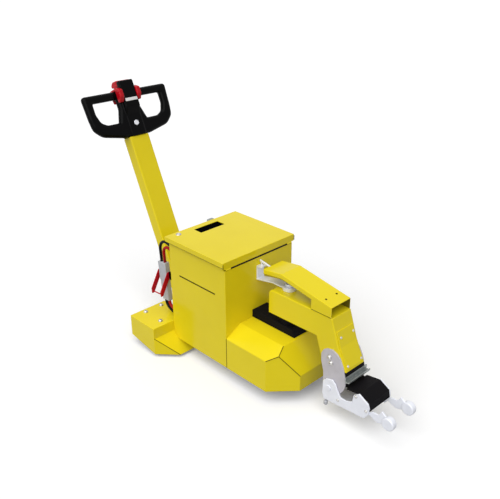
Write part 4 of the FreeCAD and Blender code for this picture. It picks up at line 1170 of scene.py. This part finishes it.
@dataclass
class Connector:
    """The battery connector, its red handle, clip, grommets and leads."""

    fitter: Fitter
    lean: float = 5.0
    handle_at: Point3 = (-391.0, -160.0, 290.0)
    rail: tuple[Point3, ...] = (
        (-4.0, 42.0, 4.0), (6.0, 40.0, 4.0), (50.0, -31.0, 4.0), (50.0, -54.0, 4.0),
        (39.0, -52.0, 4.0), (-4.0, 16.0, 4.0),
    )
    near: float = -26.5
    far: float = 34.0
    thickness: float = 3.5
    bar_reach: float = 44.0
    bar_radius: float = 2.6
    pin_at: Point2 = (2.0, 28.0)
    pin_radius: float = 5.0
    pin_start: float = -22.0
    pin_past: float = 3.0
    sheath: float = 1.1

    def build(self) -> None:
        """Dress the connector's pieces."""
        fit = self.fitter
        fit.soften("connector_upper", GREY_HOUSING, 2.5, 3)
        fit.soften("connector_lower", GREY_HOUSING, 2.5, 3)
        self.handle()
        fit.soften("connector_clip", MOULDED_BLACK, 0.8)
        fit.dress(BLACK_RUBBER, "lead_grommets")
        for node, finish in (("lead_black", BLACK_LEAD), ("lead_red", RED_LEAD)):
            mesh = frame["nodes"][node].data.copy()
            fit.swell(mesh, self.sheath)
            fit.add(f"{node}_sheath", mesh, "chassis", finish, (node,))

    def handle(self) -> None:
        """The red pull handle: two flat rails and the bar between their ends."""
        lean = math.radians(self.lean)
        origin = self.fitter.at(*self.handle_at)
        along = Vector((math.cos(lean), 0.0, math.sin(lean)))
        up = Vector((-math.sin(lean), 0.0, math.cos(lean)))
        outline = rounded(self.rail, 4)
        plane = standing(origin, -LEFT, up)
        meshes = [
            plate_mesh([outline], low, low + self.thickness, 0.8, plane)
            for low in (self.near, self.far)
        ]
        foot = origin - (LEFT + up) * self.bar_reach * MM
        reach, rise = self.pin_at
        pin = origin + (up * rise - LEFT * reach) * MM
        for middle, radius, start, stop in (
            (foot, self.bar_radius, -self.near, self.far + self.thickness),
            (pin, self.pin_radius, self.pin_start, self.far + self.pin_past),
        ):
            ends = [middle + along * start * MM, middle - along * stop * MM]
            meshes.append(wire_mesh(ends, radius, 16))
        pull = joined(meshes)
        self.fitter.add("connector_pull", pull, "chassis", RED_GLOSS, ("connector_handle",))


@dataclass
class Studio:
    """A pale floor, soft light from above and the camera."""

    fitter: Fitter
    azimuth: float = 45.8791
    elevation: float = 25.2928
    roll: float = -0.1996
    lens: float = 48.50
    sensor: float = 36.0
    sight: float = 60.0
    stand: Point3 = (1624.09, -1627.14, 1593.42)
    key: float = 0.86
    key_from: Point3 = (0.22, -0.55, 0.70)
    key_spread: float = 80.0
    fill: float = 0.36
    floor_lift: float = 0.09
    floor_bounce: float = 0.18

    def build(self) -> None:
        """Set up the floor, the lamps, the world and the camera."""
        self.floor()
        self.world()
        self.lamps()
        self.camera()
        bpy.context.scene.view_settings.view_transform = "Standard"

    def floor(self) -> None:
        """A wide plain floor, white outside the shadows, that throws back little light."""
        mesh = bpy.data.meshes.new("studio_floor")
        reach = 40.0
        corners = [(-reach, -reach, 0), (reach, -reach, 0), (reach, reach, 0), (-reach, reach, 0)]
        mesh.from_pydata(corners, [], [(0, 1, 2, 3)])
        piece = bpy.data.objects.new("studio_floor", mesh)
        bpy.context.collection.objects.link(piece)
        material = bpy.data.materials.new("white_studio_floor")
        material.use_nodes = True
        tree = material.node_tree
        tree.nodes.remove(tree.nodes["Principled BSDF"])
        pale = shading(tree, "BsdfDiffuse", Color=(0.95, 0.95, 0.955, 1.0))
        glow = shading(tree, "Emission", Strength=self.floor_lift)
        seen = shading(tree, "AddShader")
        tree.links.new(pale.outputs["BSDF"], seen.inputs[0])
        tree.links.new(glow.outputs["Emission"], seen.inputs[1])
        grey = shading(tree, "BsdfDiffuse", Color=(*[self.floor_bounce] * 3, 1.0))
        path = shading(tree, "LightPath")
        mix = shading(tree, "MixShader")
        tree.links.new(path.outputs["Is Diffuse Ray"], mix.inputs["Fac"])
        tree.links.new(seen.outputs["Shader"], mix.inputs[1])
        tree.links.new(grey.outputs["BSDF"], mix.inputs[2])
        tree.links.new(mix.outputs["Shader"], tree.nodes["Material Output"].inputs["Surface"])
        mesh.materials.append(material)

    def world(self) -> None:
        """White to the eye, in metal and through glass, and an even light on matt surfaces."""
        world = bpy.data.worlds.new("studio_world")
        bpy.context.scene.world = world
        world.use_nodes = True
        tree = world.node_tree
        plain = tree.nodes["Background"]
        plain.inputs["Color"].default_value = (1.0, 1.0, 1.0, 1.0)
        plain.inputs["Strength"].default_value = self.fill
        white = shading(tree, "Background", Color=(1.0, 1.0, 1.0, 1.0), Strength=1.0)
        path = shading(tree, "LightPath")
        looked_at = path.outputs["Is Camera Ray"]
        for ray in ("Is Glossy Ray", "Is Transmission Ray"):
            either = shading(tree, "Math")
            either.operation = "MAXIMUM"
            tree.links.new(looked_at, either.inputs[0])
            tree.links.new(path.outputs[ray], either.inputs[1])
            looked_at = either.outputs[0]
        mix = shading(tree, "MixShader")
        tree.links.new(looked_at, mix.inputs["Fac"])
        tree.links.new(plain.outputs["Background"], mix.inputs[1])
        tree.links.new(white.outputs["Background"], mix.inputs[2])
        tree.links.new(mix.outputs["Shader"], tree.nodes["World Output"].inputs["Surface"])

    def lamps(self) -> None:
        """A broad lamp above the machine, on its right and a little to the front."""
        light = bpy.data.lights.new("key_light", "SUN")
        light.energy = self.key * math.pi
        light.angle = math.radians(self.key_spread)
        lamp = bpy.data.objects.new("key_light", light)
        aim = -Vector(self.key_from)
        lamp.rotation_euler = aim.to_track_quat("-Z", "Y").to_euler()
        bpy.context.collection.objects.link(lamp)

    def camera(self) -> None:
        """The camera, three quarters from the front right and above."""
        turn, rise, roll = (
            math.radians(angle) for angle in (self.azimuth, self.elevation, self.roll)
        )
        level = math.cos(rise)
        back = Vector((math.sin(turn) * level, -math.cos(turn) * level, math.sin(rise)))
        right = Vector((math.cos(turn), math.sin(turn), 0.0))
        up = back.cross(right)
        across = right * math.cos(roll) + up * math.sin(roll)
        over = up * math.cos(roll) - right * math.sin(roll)
        data = bpy.data.cameras.new("camera")
        data.sensor_width = self.sensor
        data.lens = self.lens
        data.clip_end = self.sight
        camera = bpy.data.objects.new("camera", data)
        matrix = Matrix((across, over, back)).transposed().to_4x4()
        camera.matrix_world = Matrix.Translation(self.fitter.at(*self.stand)) @ matrix
        bpy.context.collection.objects.link(camera)
        bpy.context.scene.camera = camera


def main() -> None:
    """Build the machine's looks, one assembly after another."""
    logging.basicConfig(level=logging.INFO, format="%(message)s")
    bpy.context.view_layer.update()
    fitter = Fitter()
    Studio(fitter).build()
    for assembly in (
        BatteryBody(fitter),
        DriveEnd(fitter),
        CastorEnd(fitter),
        Gooseneck(fitter),
        Fork(fitter),
        Tiller(fitter),
        Connector(fitter),
    ):
        assembly.build()
        log.info("%s done", type(assembly).__name__)
    bpy.context.view_layer.update()
    log.info("%d pieces added", fitter.count)


if __name__ == "__main__":
    main()
